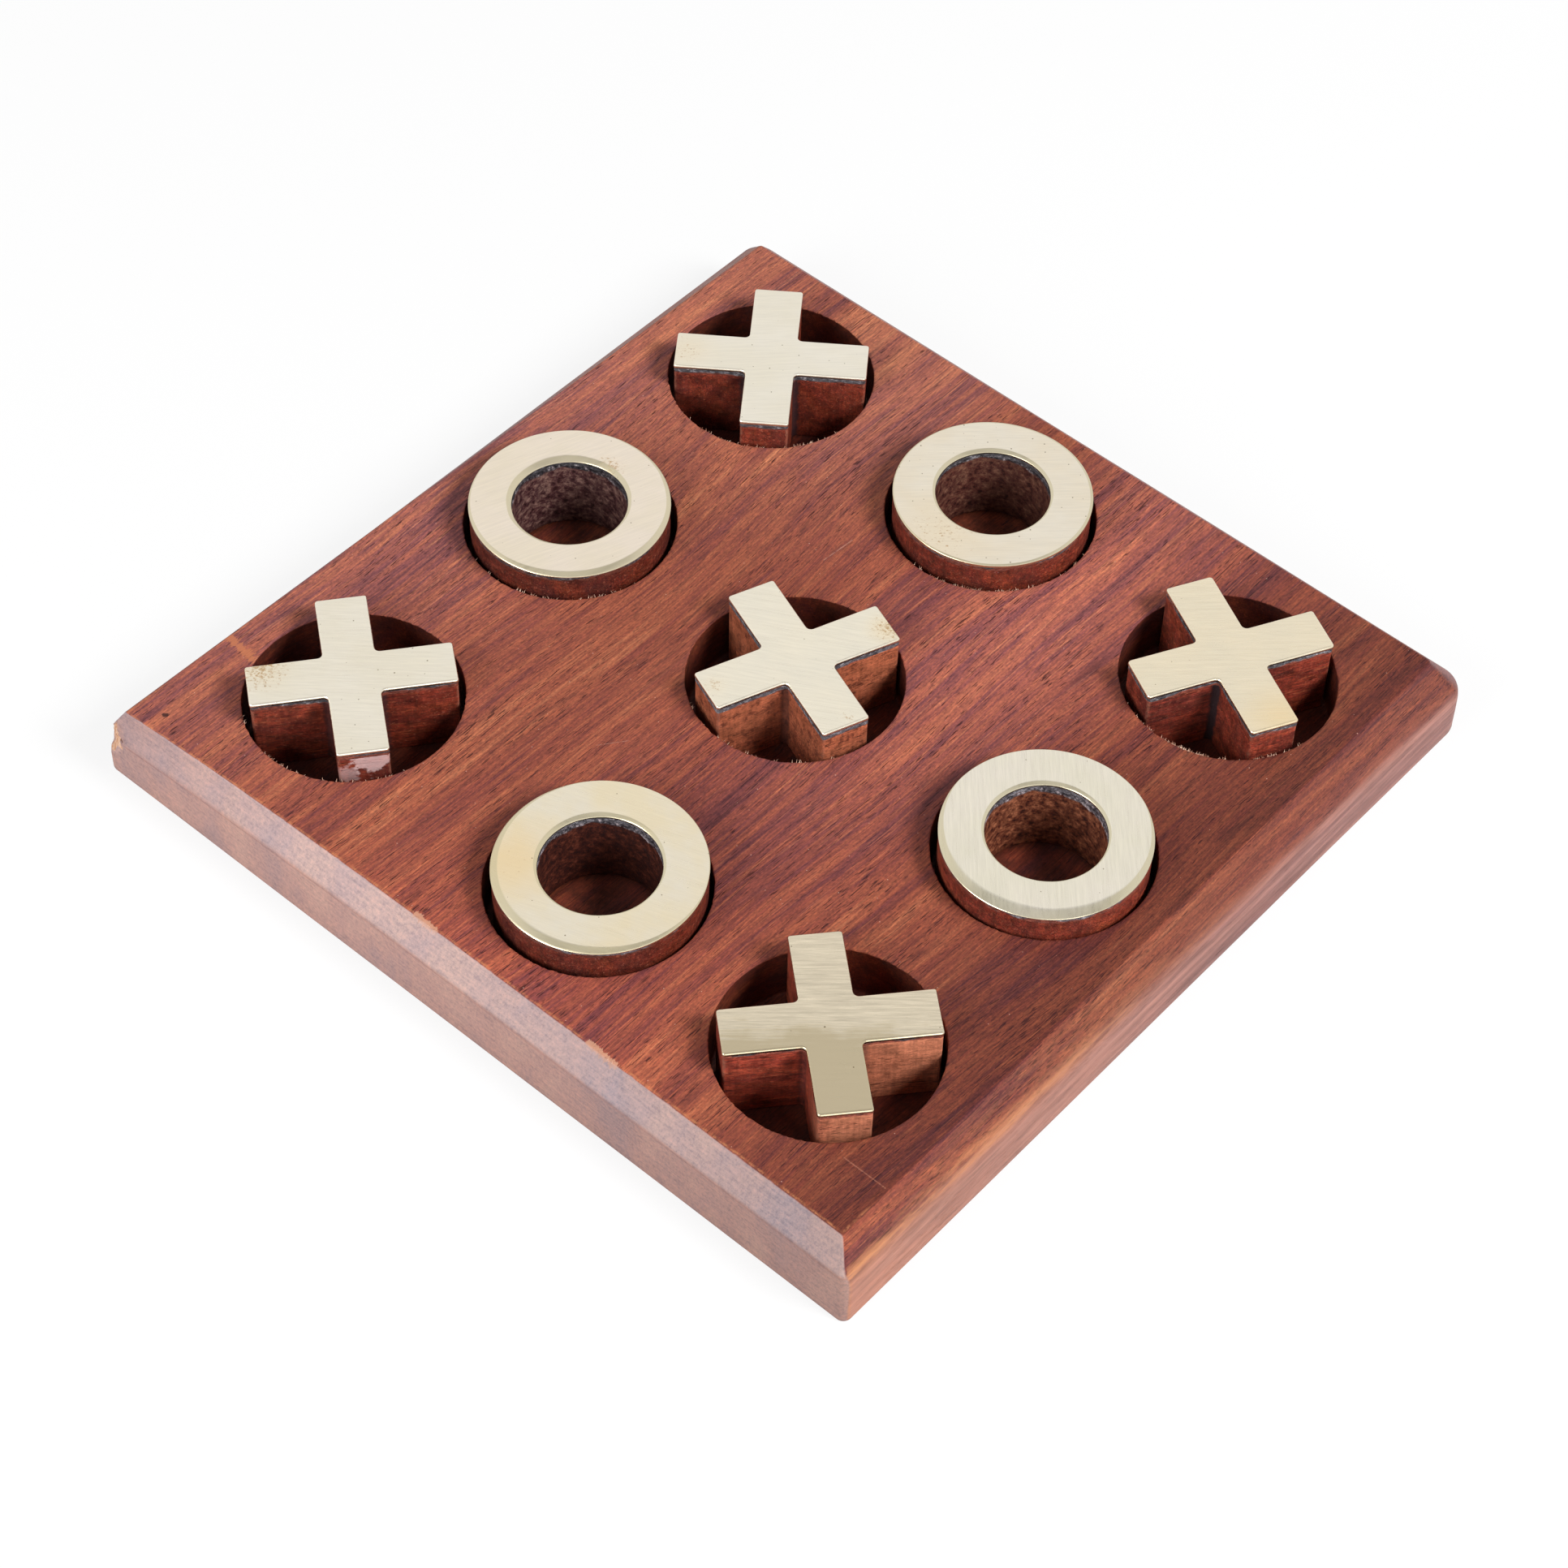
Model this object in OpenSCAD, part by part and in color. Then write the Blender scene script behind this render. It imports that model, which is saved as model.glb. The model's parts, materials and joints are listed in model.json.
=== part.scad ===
// Tic-tac-toe set: a chamfered hardwood board with nine round recesses that hold
// five crosses and four rings, each a wood body faced with a thin brass plate.
// Origin at the middle of the underside, +Z up, grain of the board along X.

/* [Board] */
// Thickness of the slab
board_thickness = 14.2; // [12:0.1:24]
// Wood left under each recess
floor_thickness = 4.8; // [3:0.1:6.5]
// Wood between two neighbouring recesses on the even grid
land = 14.2; // [12:0.1:30]
// Wood between an outer recess and the side of the slab
margin = 9.8; // [8:0.1:30]
// Set-back of the edge chamfer, measured flat
chamfer_in = 4.2; // [1:0.1:5]
// Drop of the edge chamfer, measured down the side
chamfer_down = 5; // [1:0.1:9]
// Radius of the upright corners, in plan
corner_radius = 3.5; // [1:0.5:8]
// Break of the lower edge that the slab stands on
foot_break = 0.8; // [0.2:0.1:2]
// Break of the sharp edge round each recess mouth
mouth_break = 0.3; // [0.1:0.1:0.8]

/* [Playing pieces] */
// Height of a cross or ring from its foot to the top of the brass
piece_height = 14.2; // [12:0.1:24]
// Thickness of the brass plates
plate_thickness = 0.6; // [0.4:0.1:2]
// Play between the widest piece and its recess wall, all round
play = 0.7; // [0.5:0.1:2]
// Least gap left where a piece is set against one side of its recess
least_gap = 0.3; // [0.1:0.05:0.4]

/* [Crosses] */
// Length of each bar of a cross
cross_span = 31.6; // [24:0.1:40]
// Width of each bar
arm_width = 8; // [5:0.1:10]
// Fillet left by the saw in the four inner corners
inner_fillet = 0.8; // [0.4:0.1:2]
// Adhesive under the brass of a cross
cross_bond = 0.8; // [0.3:0.1:1.5]

/* [Rings] */
// Outside diameter of a ring
ring_outer = 32; // [26:0.1:40]
// Bore of a ring
ring_bore = 18.4; // [12:0.1:22]
// Adhesive under the brass of a ring
ring_bond = 0.4; // [0.3:0.1:1.5]
// Worn bevel on both edges of a ring plate
plate_bevel = 0.25; // [0.1:0.05:0.35]

/* [Hidden] */
// Smoothness of round faces
$fn = 96;
// Overshoot of cutting tools past the face they leave
over = 1;
// Overlap that joins two flat outlines
lap = 0.1;

cross_reach = sqrt(pow(cross_span, 2) + pow(arm_width, 2)) / 2;
ring_reach = ring_outer / 2;
recess_radius = max(cross_reach, ring_reach) + play;
pitch = 2 * recess_radius + land;
board_side = 2 * pitch + 2 * recess_radius + 2 * margin;
half_side = board_side / 2;

// One row per recess: name, column, row, how far the recess lies off the even grid,
// how far the piece leans to one side of its recess (-1 to 1 of its free play), turn.
// The board is marked out by hand, so no two recesses lie quite alike.
cells = [
    ["cross_front",      -1, -1, [0, 0],        [0.9, 0.3],   -41],
    ["ring_front_right",  0, -1, [0, -0.5],     [-0.7, -0.6],   0],
    ["cross_right",       1, -1, [-2.2, 0],     [0.7, 0.6],   -28],
    ["ring_front_left",  -1,  0, [-1, -4.5],    [0.1, -0.6],    0],
    ["cross_centre",      0,  0, [0.5, 0.8],    [0.9, 0],     -21],
    ["ring_back_right",   1,  0, [-0.2, 1],     [0.1, -0.1],    0],
    ["cross_left",       -1,  1, [0.5, -0.3],   [0.6, 0.7],   -38],
    ["ring_back_left",    0,  1, [1.3, 1],      [-0.4, -0.4],   0],
    ["cross_back",        1,  1, [-0.3, -0.3],  [-0.7, -0.7], -53]
];

// Which layers every playing piece is glued up from, foot to top
layers = ["body", "bond", "plate"];

function is_cross(c) = c[0][0] == "c";
function recess_at(c) = [c[1] * pitch, c[2] * pitch] + c[3];
function free_lean(c) = recess_radius - (is_cross(c) ? cross_reach : ring_reach) - least_gap;
function piece_at(c) = recess_at(c) + free_lean(c) * c[4];
function bond_of(c) = is_cross(c) ? cross_bond : ring_bond;
function body_height(c) = piece_height - plate_thickness - bond_of(c);

// Plan of the slab: a square with rounded corners
module slab_plan() {
    straight = board_side - 2 * corner_radius;
    square([board_side, straight], center = true);
    square([straight, board_side], center = true);
    for (x = [-1, 1], y = [-1, 1])
        translate([x * straight / 2, y * straight / 2])
            circle(corner_radius);
}

// Profile that chamfers two opposite sides; it runs past the sides, which the plan sets
module edge_profile() {
    top_slope = chamfer_down / chamfer_in;
    polygon([
        [half_side - foot_break, 0],
        [half_side + over, foot_break + over],
        [half_side + over, board_thickness - chamfer_down - over * top_slope],
        [half_side - chamfer_in, board_thickness],
        [-half_side + chamfer_in, board_thickness],
        [-half_side - over, board_thickness - chamfer_down - over * top_slope],
        [-half_side - over, foot_break + over],
        [-half_side + foot_break, 0]
    ]);
}

module slab() {
    long = board_side + 4 * over;
    intersection() {
        rotate([90, 0, 0])
            linear_extrude(long, center = true)
                edge_profile();
        rotate([90, 0, 90])
            linear_extrude(long, center = true)
                edge_profile();
        translate([0, 0, -over])
            linear_extrude(board_thickness + 2 * over)
                slab_plan();
    }
}

// Cutter for one recess, with the broken edge of its mouth
module recess() {
    translate([0, 0, floor_thickness])
        cylinder(h = board_thickness - floor_thickness + over, r = recess_radius);
    translate([0, 0, board_thickness - mouth_break])
        cylinder(h = mouth_break + over, r1 = recess_radius, r2 = recess_radius + mouth_break + over);
}

module board() {
    color("sienna")
        difference() {
            slab();
            for (c = cells)
                translate(recess_at(c))
                    recess();
        }
}

// Outline of a cross: two bars with filleted inner corners
module cross_outline() {
    square([cross_span, arm_width], center = true);
    square([arm_width, cross_span], center = true);
    for (turn = [0, 90, 180, 270])
        rotate(turn)
            translate([arm_width / 2, arm_width / 2])
                difference() {
                    translate([-lap, -lap])
                        square(inner_fillet + lap);
                    translate([inner_fillet, inner_fillet])
                        circle(inner_fillet);
                }
}

// Section of a ring plate, with its worn edges
module ring_plate_section() {
    inside = ring_bore / 2;
    polygon([
        [inside, 0],
        [ring_reach, 0],
        [ring_reach, plate_thickness - plate_bevel],
        [ring_reach - plate_bevel, plate_thickness],
        [inside + plate_bevel, plate_thickness],
        [inside, plate_thickness - plate_bevel]
    ]);
}

// Plain layer of a ring
module ring_layer(height) {
    difference() {
        cylinder(h = height, r = ring_reach);
        translate([0, 0, -over])
            cylinder(h = height + 2 * over, d = ring_bore);
    }
}

// Puts a layer in its cell, turned as the piece lies, its foot at the given height
module in_cell(c, height) {
    translate([piece_at(c)[0], piece_at(c)[1], floor_thickness + height])
        rotate(c[5])
            children();
}

module body(c) {
    color("brown")
        in_cell(c, 0)
            if (is_cross(c))
                linear_extrude(body_height(c))
                    cross_outline();
            else
                ring_layer(body_height(c));
}

module bond(c) {
    color("dimgray")
        in_cell(c, body_height(c))
            if (is_cross(c))
                linear_extrude(cross_bond)
                    cross_outline();
            else
                ring_layer(ring_bond);
}

module plate(c) {
    color("palegoldenrod")
        in_cell(c, body_height(c) + bond_of(c))
            if (is_cross(c))
                linear_extrude(plate_thickness)
                    cross_outline();
            else
                rotate_extrude()
                    ring_plate_section();
}

board();
for (c = cells) {
    body(c);
    bond(c);
    plate(c);
}
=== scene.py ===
# Tic-tac-toe set: chamfered hardwood board, five crosses and four rings faced with brass
import json
import math
import random

import bmesh
import bpy
from mathutils import Matrix, Vector, noise
from mathutils.geometry import delaunay_2d_cdt

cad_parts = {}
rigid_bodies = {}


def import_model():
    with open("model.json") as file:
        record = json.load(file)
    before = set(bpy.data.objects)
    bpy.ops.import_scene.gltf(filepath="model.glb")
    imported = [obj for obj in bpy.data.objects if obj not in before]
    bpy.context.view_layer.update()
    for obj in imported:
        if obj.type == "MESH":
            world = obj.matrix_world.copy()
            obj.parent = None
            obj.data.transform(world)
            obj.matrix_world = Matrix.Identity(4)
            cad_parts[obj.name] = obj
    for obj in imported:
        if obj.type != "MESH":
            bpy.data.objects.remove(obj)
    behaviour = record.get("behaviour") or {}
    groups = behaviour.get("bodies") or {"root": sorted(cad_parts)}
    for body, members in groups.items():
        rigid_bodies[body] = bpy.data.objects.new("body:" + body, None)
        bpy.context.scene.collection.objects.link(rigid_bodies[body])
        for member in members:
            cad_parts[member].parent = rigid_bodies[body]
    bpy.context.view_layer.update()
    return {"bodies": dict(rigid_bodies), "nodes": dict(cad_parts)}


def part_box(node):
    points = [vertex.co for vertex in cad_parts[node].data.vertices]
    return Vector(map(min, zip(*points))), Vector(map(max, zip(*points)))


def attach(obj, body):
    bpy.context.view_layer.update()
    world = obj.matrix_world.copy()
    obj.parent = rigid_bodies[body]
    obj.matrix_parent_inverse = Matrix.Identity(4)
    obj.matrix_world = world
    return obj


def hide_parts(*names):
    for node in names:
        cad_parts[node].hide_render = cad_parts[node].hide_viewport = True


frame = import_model()
mm = 0.001
print("frame loaded:", len(frame["nodes"]), "nodes")


# A node tree with short calls for the nodes used most; they take numbers, tones and sockets alike
class Graph:
    def __init__(self, tree):
        self.tree = tree

    def feed(self, socket, value):
        if isinstance(value, bpy.types.NodeSocket):
            self.tree.links.new(value, socket)
        elif value is not None:
            plainTone = socket.type == "RGBA" and len(value) == 3
            socket.default_value = (*value, 1.0) if plainTone else value

    def add(self, kind, values=None, **settings):
        node = self.tree.nodes.new(kind)
        for key, value in settings.items():
            setattr(node, key, value)
        for key, value in (values or {}).items():
            self.feed(node.inputs[key], value)
        return node.outputs

    def maths(self, operation, *values, clamp=False):
        return self.add("ShaderNodeMath", dict(enumerate(values)), operation=operation, use_clamp=clamp)[0]

    def times(self, first, second, plus=None):
        if plus is None:
            return self.maths("MULTIPLY", first, second)
        return self.maths("MULTIPLY_ADD", first, second, plus)

    def plus(self, first, second):
        return self.maths("ADD", first, second)

    def less(self, first, second):
        return self.maths("SUBTRACT", first, second)

    def vectors(self, operation, first, second=None):
        # Plain numbers come out of the second socket
        number = operation in ("DISTANCE", "DOT_PRODUCT", "LENGTH")
        return self.add("ShaderNodeVectorMath", {0: first, 1: second}, operation=operation)[int(number)]

    def stretch(self, vector, along, across, upright=None):
        return self.vectors("MULTIPLY", vector, (along, across, across if upright is None else upright))

    def level(self, vector):
        return self.stretch(vector, 1, 1, 0)

    def axes(self, vector):
        return self.add("ShaderNodeSeparateXYZ", {0: vector})

    def upwards(self, value):
        return self.add("ShaderNodeCombineXYZ", {2: value})[0]

    def spread(self, value):
        return self.add("ShaderNodeCombineXYZ", {0: value, 1: value, 2: value})[0]

    def noise(self, vector, scale, detail=2.0, roughness=0.5):
        # Two or three scales stretch the pattern along, across and up
        if isinstance(scale, tuple):
            vector, scale = self.stretch(vector, *scale), 1.0
        values = {"Vector": vector, "Scale": scale, "Detail": detail, "Roughness": roughness}
        return self.add("ShaderNodeTexNoise", values)[0]

    def dots(self, vector, scale, **settings):
        # Distance from the nearest of scattered points, and a random number for each point
        cells = self.add("ShaderNodeTexVoronoi", {"Vector": vector, "Scale": scale}, **settings)
        return cells["Distance"], self.axes(cells["Color"])[0]

    def remap(self, value, low, high, toLow=0.0, toHigh=1.0, smooth=False):
        values = {0: value, 1: low, 2: high, 3: toLow, 4: toHigh}
        kind = "SMOOTHSTEP" if smooth else "LINEAR"
        return self.add("ShaderNodeMapRange", values, interpolation_type=kind)[0]

    def mix(self, factor, first, second, blend="MIX"):
        values = {0: factor, 6: first, 7: second}
        return self.add("ShaderNodeMix", values, data_type="RGBA", blend_type=blend)[2]

    def tint(self, base, tone):
        return self.mix(1.0, base, tone, "MULTIPLY")

    def shade(self, base, value):
        return self.tint(base, self.add("ShaderNodeCombineColor", {0: value, 1: value, 2: value})[0])

    def ramp(self, factor, stops):
        output = self.add("ShaderNodeValToRGB", {0: factor})[0]
        elements = output.node.color_ramp.elements
        while len(elements) < len(stops):
            elements.new(0.5)
        for element, (position, tone) in zip(elements, stops):
            element.position = position
            element.color = (*tone, 1.0)
        return output


def scaled(tone, level):
    return tuple(channel * level for channel in tone)


def newObject(name, mesh):
    obj = bpy.data.objects.new(name, mesh)
    bpy.context.scene.collection.objects.link(obj)
    return obj


# Camera at the photograph's viewing angle
cameraSizes = {
    "azimuth": -51.47,      # degrees, 0 looks along +Y
    "elevation": 49.70,
    "roll": 2.98,
    "distance": 0.5589,     # metres from the aim point
    "aim": (-0.00595, -0.01577, 0.0142),
    "lens": 85.04,          # mm, on a 36 mm wide sensor
    "shift": (-0.0419, -0.0172),
}


def makeCamera(sizes):
    azimuth, elevation, roll = (math.radians(sizes[k]) for k in ("azimuth", "elevation", "roll"))
    back = Vector((math.sin(azimuth) * math.cos(elevation), -math.cos(azimuth) * math.cos(elevation),
                   math.sin(elevation)))
    right = Vector((math.cos(azimuth), math.sin(azimuth), 0))
    up = back.cross(right)
    tiltedRight = right * math.cos(roll) + up * math.sin(roll)
    tiltedUp = up * math.cos(roll) - right * math.sin(roll)
    data = bpy.data.cameras.new("camera")
    data.lens = sizes["lens"]
    data.sensor_width = 36
    data.shift_x, data.shift_y = sizes["shift"]
    camera = newObject("camera", data)
    turn = Matrix((tiltedRight, tiltedUp, back)).transposed().to_4x4()
    camera.matrix_world = Matrix.Translation(Vector(sizes["aim"]) + back * sizes["distance"]) @ turn
    bpy.context.scene.camera = camera


makeCamera(cameraSizes)
bpy.context.scene.view_settings.view_transform = "Standard"
print("camera set")


# Lays of the board, recesses and pieces, read from the frame in millimetres
def points(node):
    return [v.co * 1000 for v in frame["nodes"][node].data.vertices]


def readLays():
    floorZ = min(p.z for p in points("cross_centre_body"))
    boardPoints = points("board")
    lays = {}
    for body in frame["bodies"]:
        if body == "board":
            continue
        low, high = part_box(body + "_plate")
        middle = ((low + high) * 500).to_2d()
        lay = {"centre": middle, "top": high.z * 1000, "plateFoot": low.z * 1000,
               "bondFoot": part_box(body + "_bond")[0].z * 1000, "foot": floorZ, "name": body}
        plate = [p.to_2d() - middle for p in points(body + "_plate")]
        reach = max(p.length for p in plate)
        if body.startswith("cross"):
            far = [p for p in plate if p.length > reach - 0.01]
            turns = [4 * math.atan2(p.y, p.x) for p in far]
            lay["turn"] = math.atan2(sum(map(math.sin, turns)), sum(map(math.cos, turns))) / 4
            straight = [Matrix.Rotation(-lay["turn"], 2) @ p for p in far]
            lay["span"] = 2 * max(p.x for p in straight)
            lay["width"] = 2 * min(abs(p.x) for p in straight)
        else:
            lay["outer"] = reach
            lay["bore"] = min(p.length for p in plate)
        near = [p for p in boardPoints if abs(p.z - floorZ) < 0.01
                and (p.to_2d() - middle).length < 1.5 * reach]
        xs = [p.x for p in near]
        ys = [p.y for p in near]
        lay["recess"] = Vector(((min(xs) + max(xs)) / 2, (min(ys) + max(ys)) / 2))
        lay["recessRadius"] = (max(xs) - min(xs)) / 2
        lays[body] = lay
    return lays


lays = readLays()
for lay in lays.values():
    print(lay["name"], [round(c, 2) for c in lay["centre"]], round(math.degrees(lay.get("turn", 0)), 1),
          [round(c, 2) for c in lay["recess"]], round(lay["recessRadius"], 2))


# Board: contours up the side, a meshed top, and nine bored recesses
boardSizes = {
    "footRound": 0.55,
    "creaseSoft": 0.3,       # how far the crease between side and chamfer is rounded
    "topSoft": 0.3,
    "flatStrip": 0.3,        # level strip inside the top edge, which keeps the top's shading flat
    "softSteps": 3,
    "footSteps": 4,
    # Where the contours lie, as shares of the way up the side and up the chamfer
    "sideShares": (0.2, 0.4, 0.55, 0.7, 0.8, 0.88),
    "chamferShares": (0.14, 0.24, 0.34, 0.44, 0.54, 0.64, 0.74, 0.84, 0.91),
    "mitreRound": 0.35,      # least corner radius, along the mitres of the chamfer
    "sidePoints": 200,
    "cornerPoints": 12,
    "handWave": 0.09,        # how far the hand-sanded sides wander inwards
    "arrisTear": 0.10,       # nicks along the top edge where it crosses the end grain
    "topGrid": 2.8,
    "topWave": 0.02,
    "rimReach": 0.9,         # strip round each recess that the rim is made from
    "rimSegments": 240,
    "rimTear": 0.13,         # torn grain round the mouths
    "wallWave": 0.05,
    "dimpleRadius": 1.7,     # left by the point of the boring bit
    "dimpleDepth": 0.9,
    "merge": 0.004,          # points nearer than this are joined
}
# The chamfer was planed by hand, so each corner has its own measures in mm
boardCorners = [
    {"way": (1, -1), "setBack": (5.1, 5.1), "drop": 5.9, "round": 4.6, "keep": 0.35, "ease": 1,
     "soft": 0.16},
    {"way": (1, 1), "setBack": (4.5, 4.7), "drop": 5.0, "round": 3.2, "keep": 0.3, "ease": 1},
    {"way": (-1, 1), "setBack": (1.9, 4.0), "drop": 6.2, "round": 1.7, "keep": 0.35, "ease": 5},
    {"way": (-1, -1), "setBack": (4.0, 4.3), "drop": 4.2, "lean": 0.4, "round": 1.4, "keep": 0.35, "ease": 1,
     "soft": 0.30},
]
# A splinter is broken out of the left corner: a flat facet with a ledge under it
chip = {"way": (-0.93, 0.37, 0.0), "face": 95.7, "low": 4.4, "ledge": 1.7, "rough": 0.45, "raw": 0.15}


def softCorner(before, corner, after, reach, steps):
    toBefore = (before - corner).normalized() * reach
    toAfter = (after - corner).normalized() * reach
    shares = [k / steps for k in range(steps + 1)]
    return [corner + toBefore * (1 - t) ** 2 + toAfter * t ** 2 for t in shares]


def cornerProfile(sizes, corner, top):
    # Inset and height of each contour as it passes this corner, foot to top
    foot = sizes["footRound"]
    rows = []
    for k in range(sizes["footSteps"] + 1):
        a = math.radians(90 * k / sizes["footSteps"])
        rows.append(Vector((foot * (1 - math.sin(a)), foot * (1 - math.cos(a)))))
    crease = Vector((0, top - corner["drop"]))
    edge = Vector((sum(corner["setBack"]) / 2, top))
    for t in sizes["sideShares"]:
        rows.append(Vector((0, foot + (crease.y - foot) * t)))
    rows += softCorner(rows[-1], crease, edge, sizes["creaseSoft"], sizes["softSteps"])
    rows += [crease.lerp(edge, t) for t in sizes["chamferShares"]]
    rows += softCorner(crease, edge, Vector((20, top)), sizes["topSoft"], sizes["softSteps"])
    rows.append(Vector((rows[-1].x + sizes["flatStrip"], top)))
    return rows


def boardContour(sizes, half, top, row):
    # One closed loop of points: four sides and the rounded corners between them
    marks = []
    for corner in boardCorners:
        inset, z = cornerProfile(sizes, corner, top)[row]
        share = 2 * inset / sum(corner["setBack"]) if z > 2 else 0
        lean = corner.get("lean", 0) * min(1, max(0, z - 1) / 8)
        x = half - (inset if z <= 2 else max(lean, share * corner["setBack"][0]))
        # On the near side the crease is sanded to a broad round
        soft = corner.get("soft", 0)
        rise = (z - top + corner["drop"]) / corner["drop"]
        if soft and z > 2:
            share += (rise + math.hypot(rise, soft)) / (1 + math.hypot(1, soft)) - max(0, rise)
        y = half - (inset if z <= 2 else share * corner["setBack"][1])
        radius = max(sizes["mitreRound"], corner["round"] - corner["keep"] * 2 * inset)
        marks.append((Vector(corner["way"]), Vector((x, y)), z, radius, corner["ease"]))
    made = []
    for k, (way, reach, z, radius, ease) in enumerate(marks):
        nextWay, nextReach, nextZ, nextRadius, _ = marks[(k + 1) % 4]
        along = (nextWay - way) / 2
        start = Vector((way.x * reach.x, way.y * reach.y)) + along * radius
        middle = Vector((nextWay.x * (nextReach.x - nextRadius), nextWay.y * (nextReach.y - nextRadius)))
        end = Vector((nextWay.x * nextReach.x, nextWay.y * nextReach.y)) - along * nextRadius
        for n in range(sizes["sidePoints"]):
            t = n / sizes["sidePoints"]
            eased = 1 - (1 - t) ** ease
            p = start.lerp(end, t)
            facing = k % 2
            p[facing] = start[facing] + (end[facing] - start[facing]) * eased
            made.append(Vector((p.x, p.y, z + (nextZ - z) * eased)))
        for n in range(sizes["cornerPoints"]):
            a = math.radians(90 * (k + n / sizes["cornerPoints"]))
            arc = middle + nextRadius * Vector((math.cos(a), math.sin(a)))
            made.append(Vector((arc.x, arc.y, nextZ)))
    return made


def addRows(mesh, rows, slot=0):
    for lower, upper in zip(rows, rows[1:]):
        for k in range(len(lower)):
            n = (k + 1) % len(lower)
            face = mesh.faces.new((lower[k], lower[n], upper[n], upper[k]))
            face.material_index = slot
            face.smooth = True


def weathered(sizes, p, top, tear):
    # Wander of the sanded sides, nicks in the top edge, and the chip at one corner
    give = 0.5 + 0.5 * noise.noise(Vector((p.x * 0.035, p.y * 0.035, p.z * 0.11 + 5)))
    inward = -Vector((p.x, p.y, 0)).normalized()
    q = p + inward * sizes["handWave"] * give * min(1, (top - p.z) / 2)
    if tear and -p.x > abs(p.y):
        nick = noise.noise(Vector((p.x, p.y * 1.1, 3))) + noise.noise(Vector((p.x, p.y * 0.3, 9)))
        nick = max(0, nick - 0.1)
        q += inward * sizes["arrisTear"] * tear * 2 * nick
        q.z -= 0.6 * sizes["arrisTear"] * tear * nick
    return q - Vector(chip["way"]).normalized() * chipDepth(p)


def chipDepth(p):
    past = p.dot(Vector(chip["way"])) - chip["face"]
    past += chip["rough"] * noise.noise(Vector((p.x * 0.9, p.y * 0.9, p.z * 1.7)))
    ledge = min(1, max(0, (p.z - chip["low"]) / chip["ledge"]))
    return max(0, past) * ledge


def makeBoard(sizes):
    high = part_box("board")[1] * 1000
    half, top = high.x, high.z
    mesh = bmesh.new()
    arris = mesh.verts.layers.float.new("arris")
    raw = set()
    loops = []
    last = len(cornerProfile(sizes, boardCorners[0], top)) - 1
    creaseRow = sizes["footSteps"] + 1 + len(sizes["sideShares"]) + sizes["softSteps"] // 2
    for row in range(last + 1):
        tear = {last: 0.5, last - 1: 0.9, last - 2: 1.0, last - 3: 0.8, last - 4: 0.4}.get(row, 0)
        contour = boardContour(sizes, half, top, row)
        loops.append([mesh.verts.new(weathered(sizes, p, top, tear)) for p in contour])
        raw |= {vert for vert, p in zip(loops[-1], contour) if chipDepth(p) > chip["raw"]}
        for vert in loops[-1]:
            vert[arris] = {creaseRow: 1.0, creaseRow + 1: 0.8, last - 2: -1.0, last - 1: -0.7}.get(row, 0)
    addRows(mesh, loops)
    for face in mesh.faces:
        if all(vert in raw for vert in face.verts):
            face.material_index = 2
    mesh.faces.new(list(reversed(loops[0])))
    addTop(mesh, sizes, loops[-1], half, top)
    for number, lay in enumerate(lays.values()):
        addRecess(mesh, sizes, lay, top, number)
    bmesh.ops.remove_doubles(mesh, verts=mesh.verts, dist=sizes["merge"])
    bmesh.ops.recalc_face_normals(mesh, faces=mesh.faces)
    bmesh.ops.scale(mesh, vec=(mm, mm, mm), verts=mesh.verts)
    data = bpy.data.meshes.new("boardSlab")
    mesh.to_mesh(data)
    mesh.free()
    return newObject("boardSlab", data)


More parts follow.
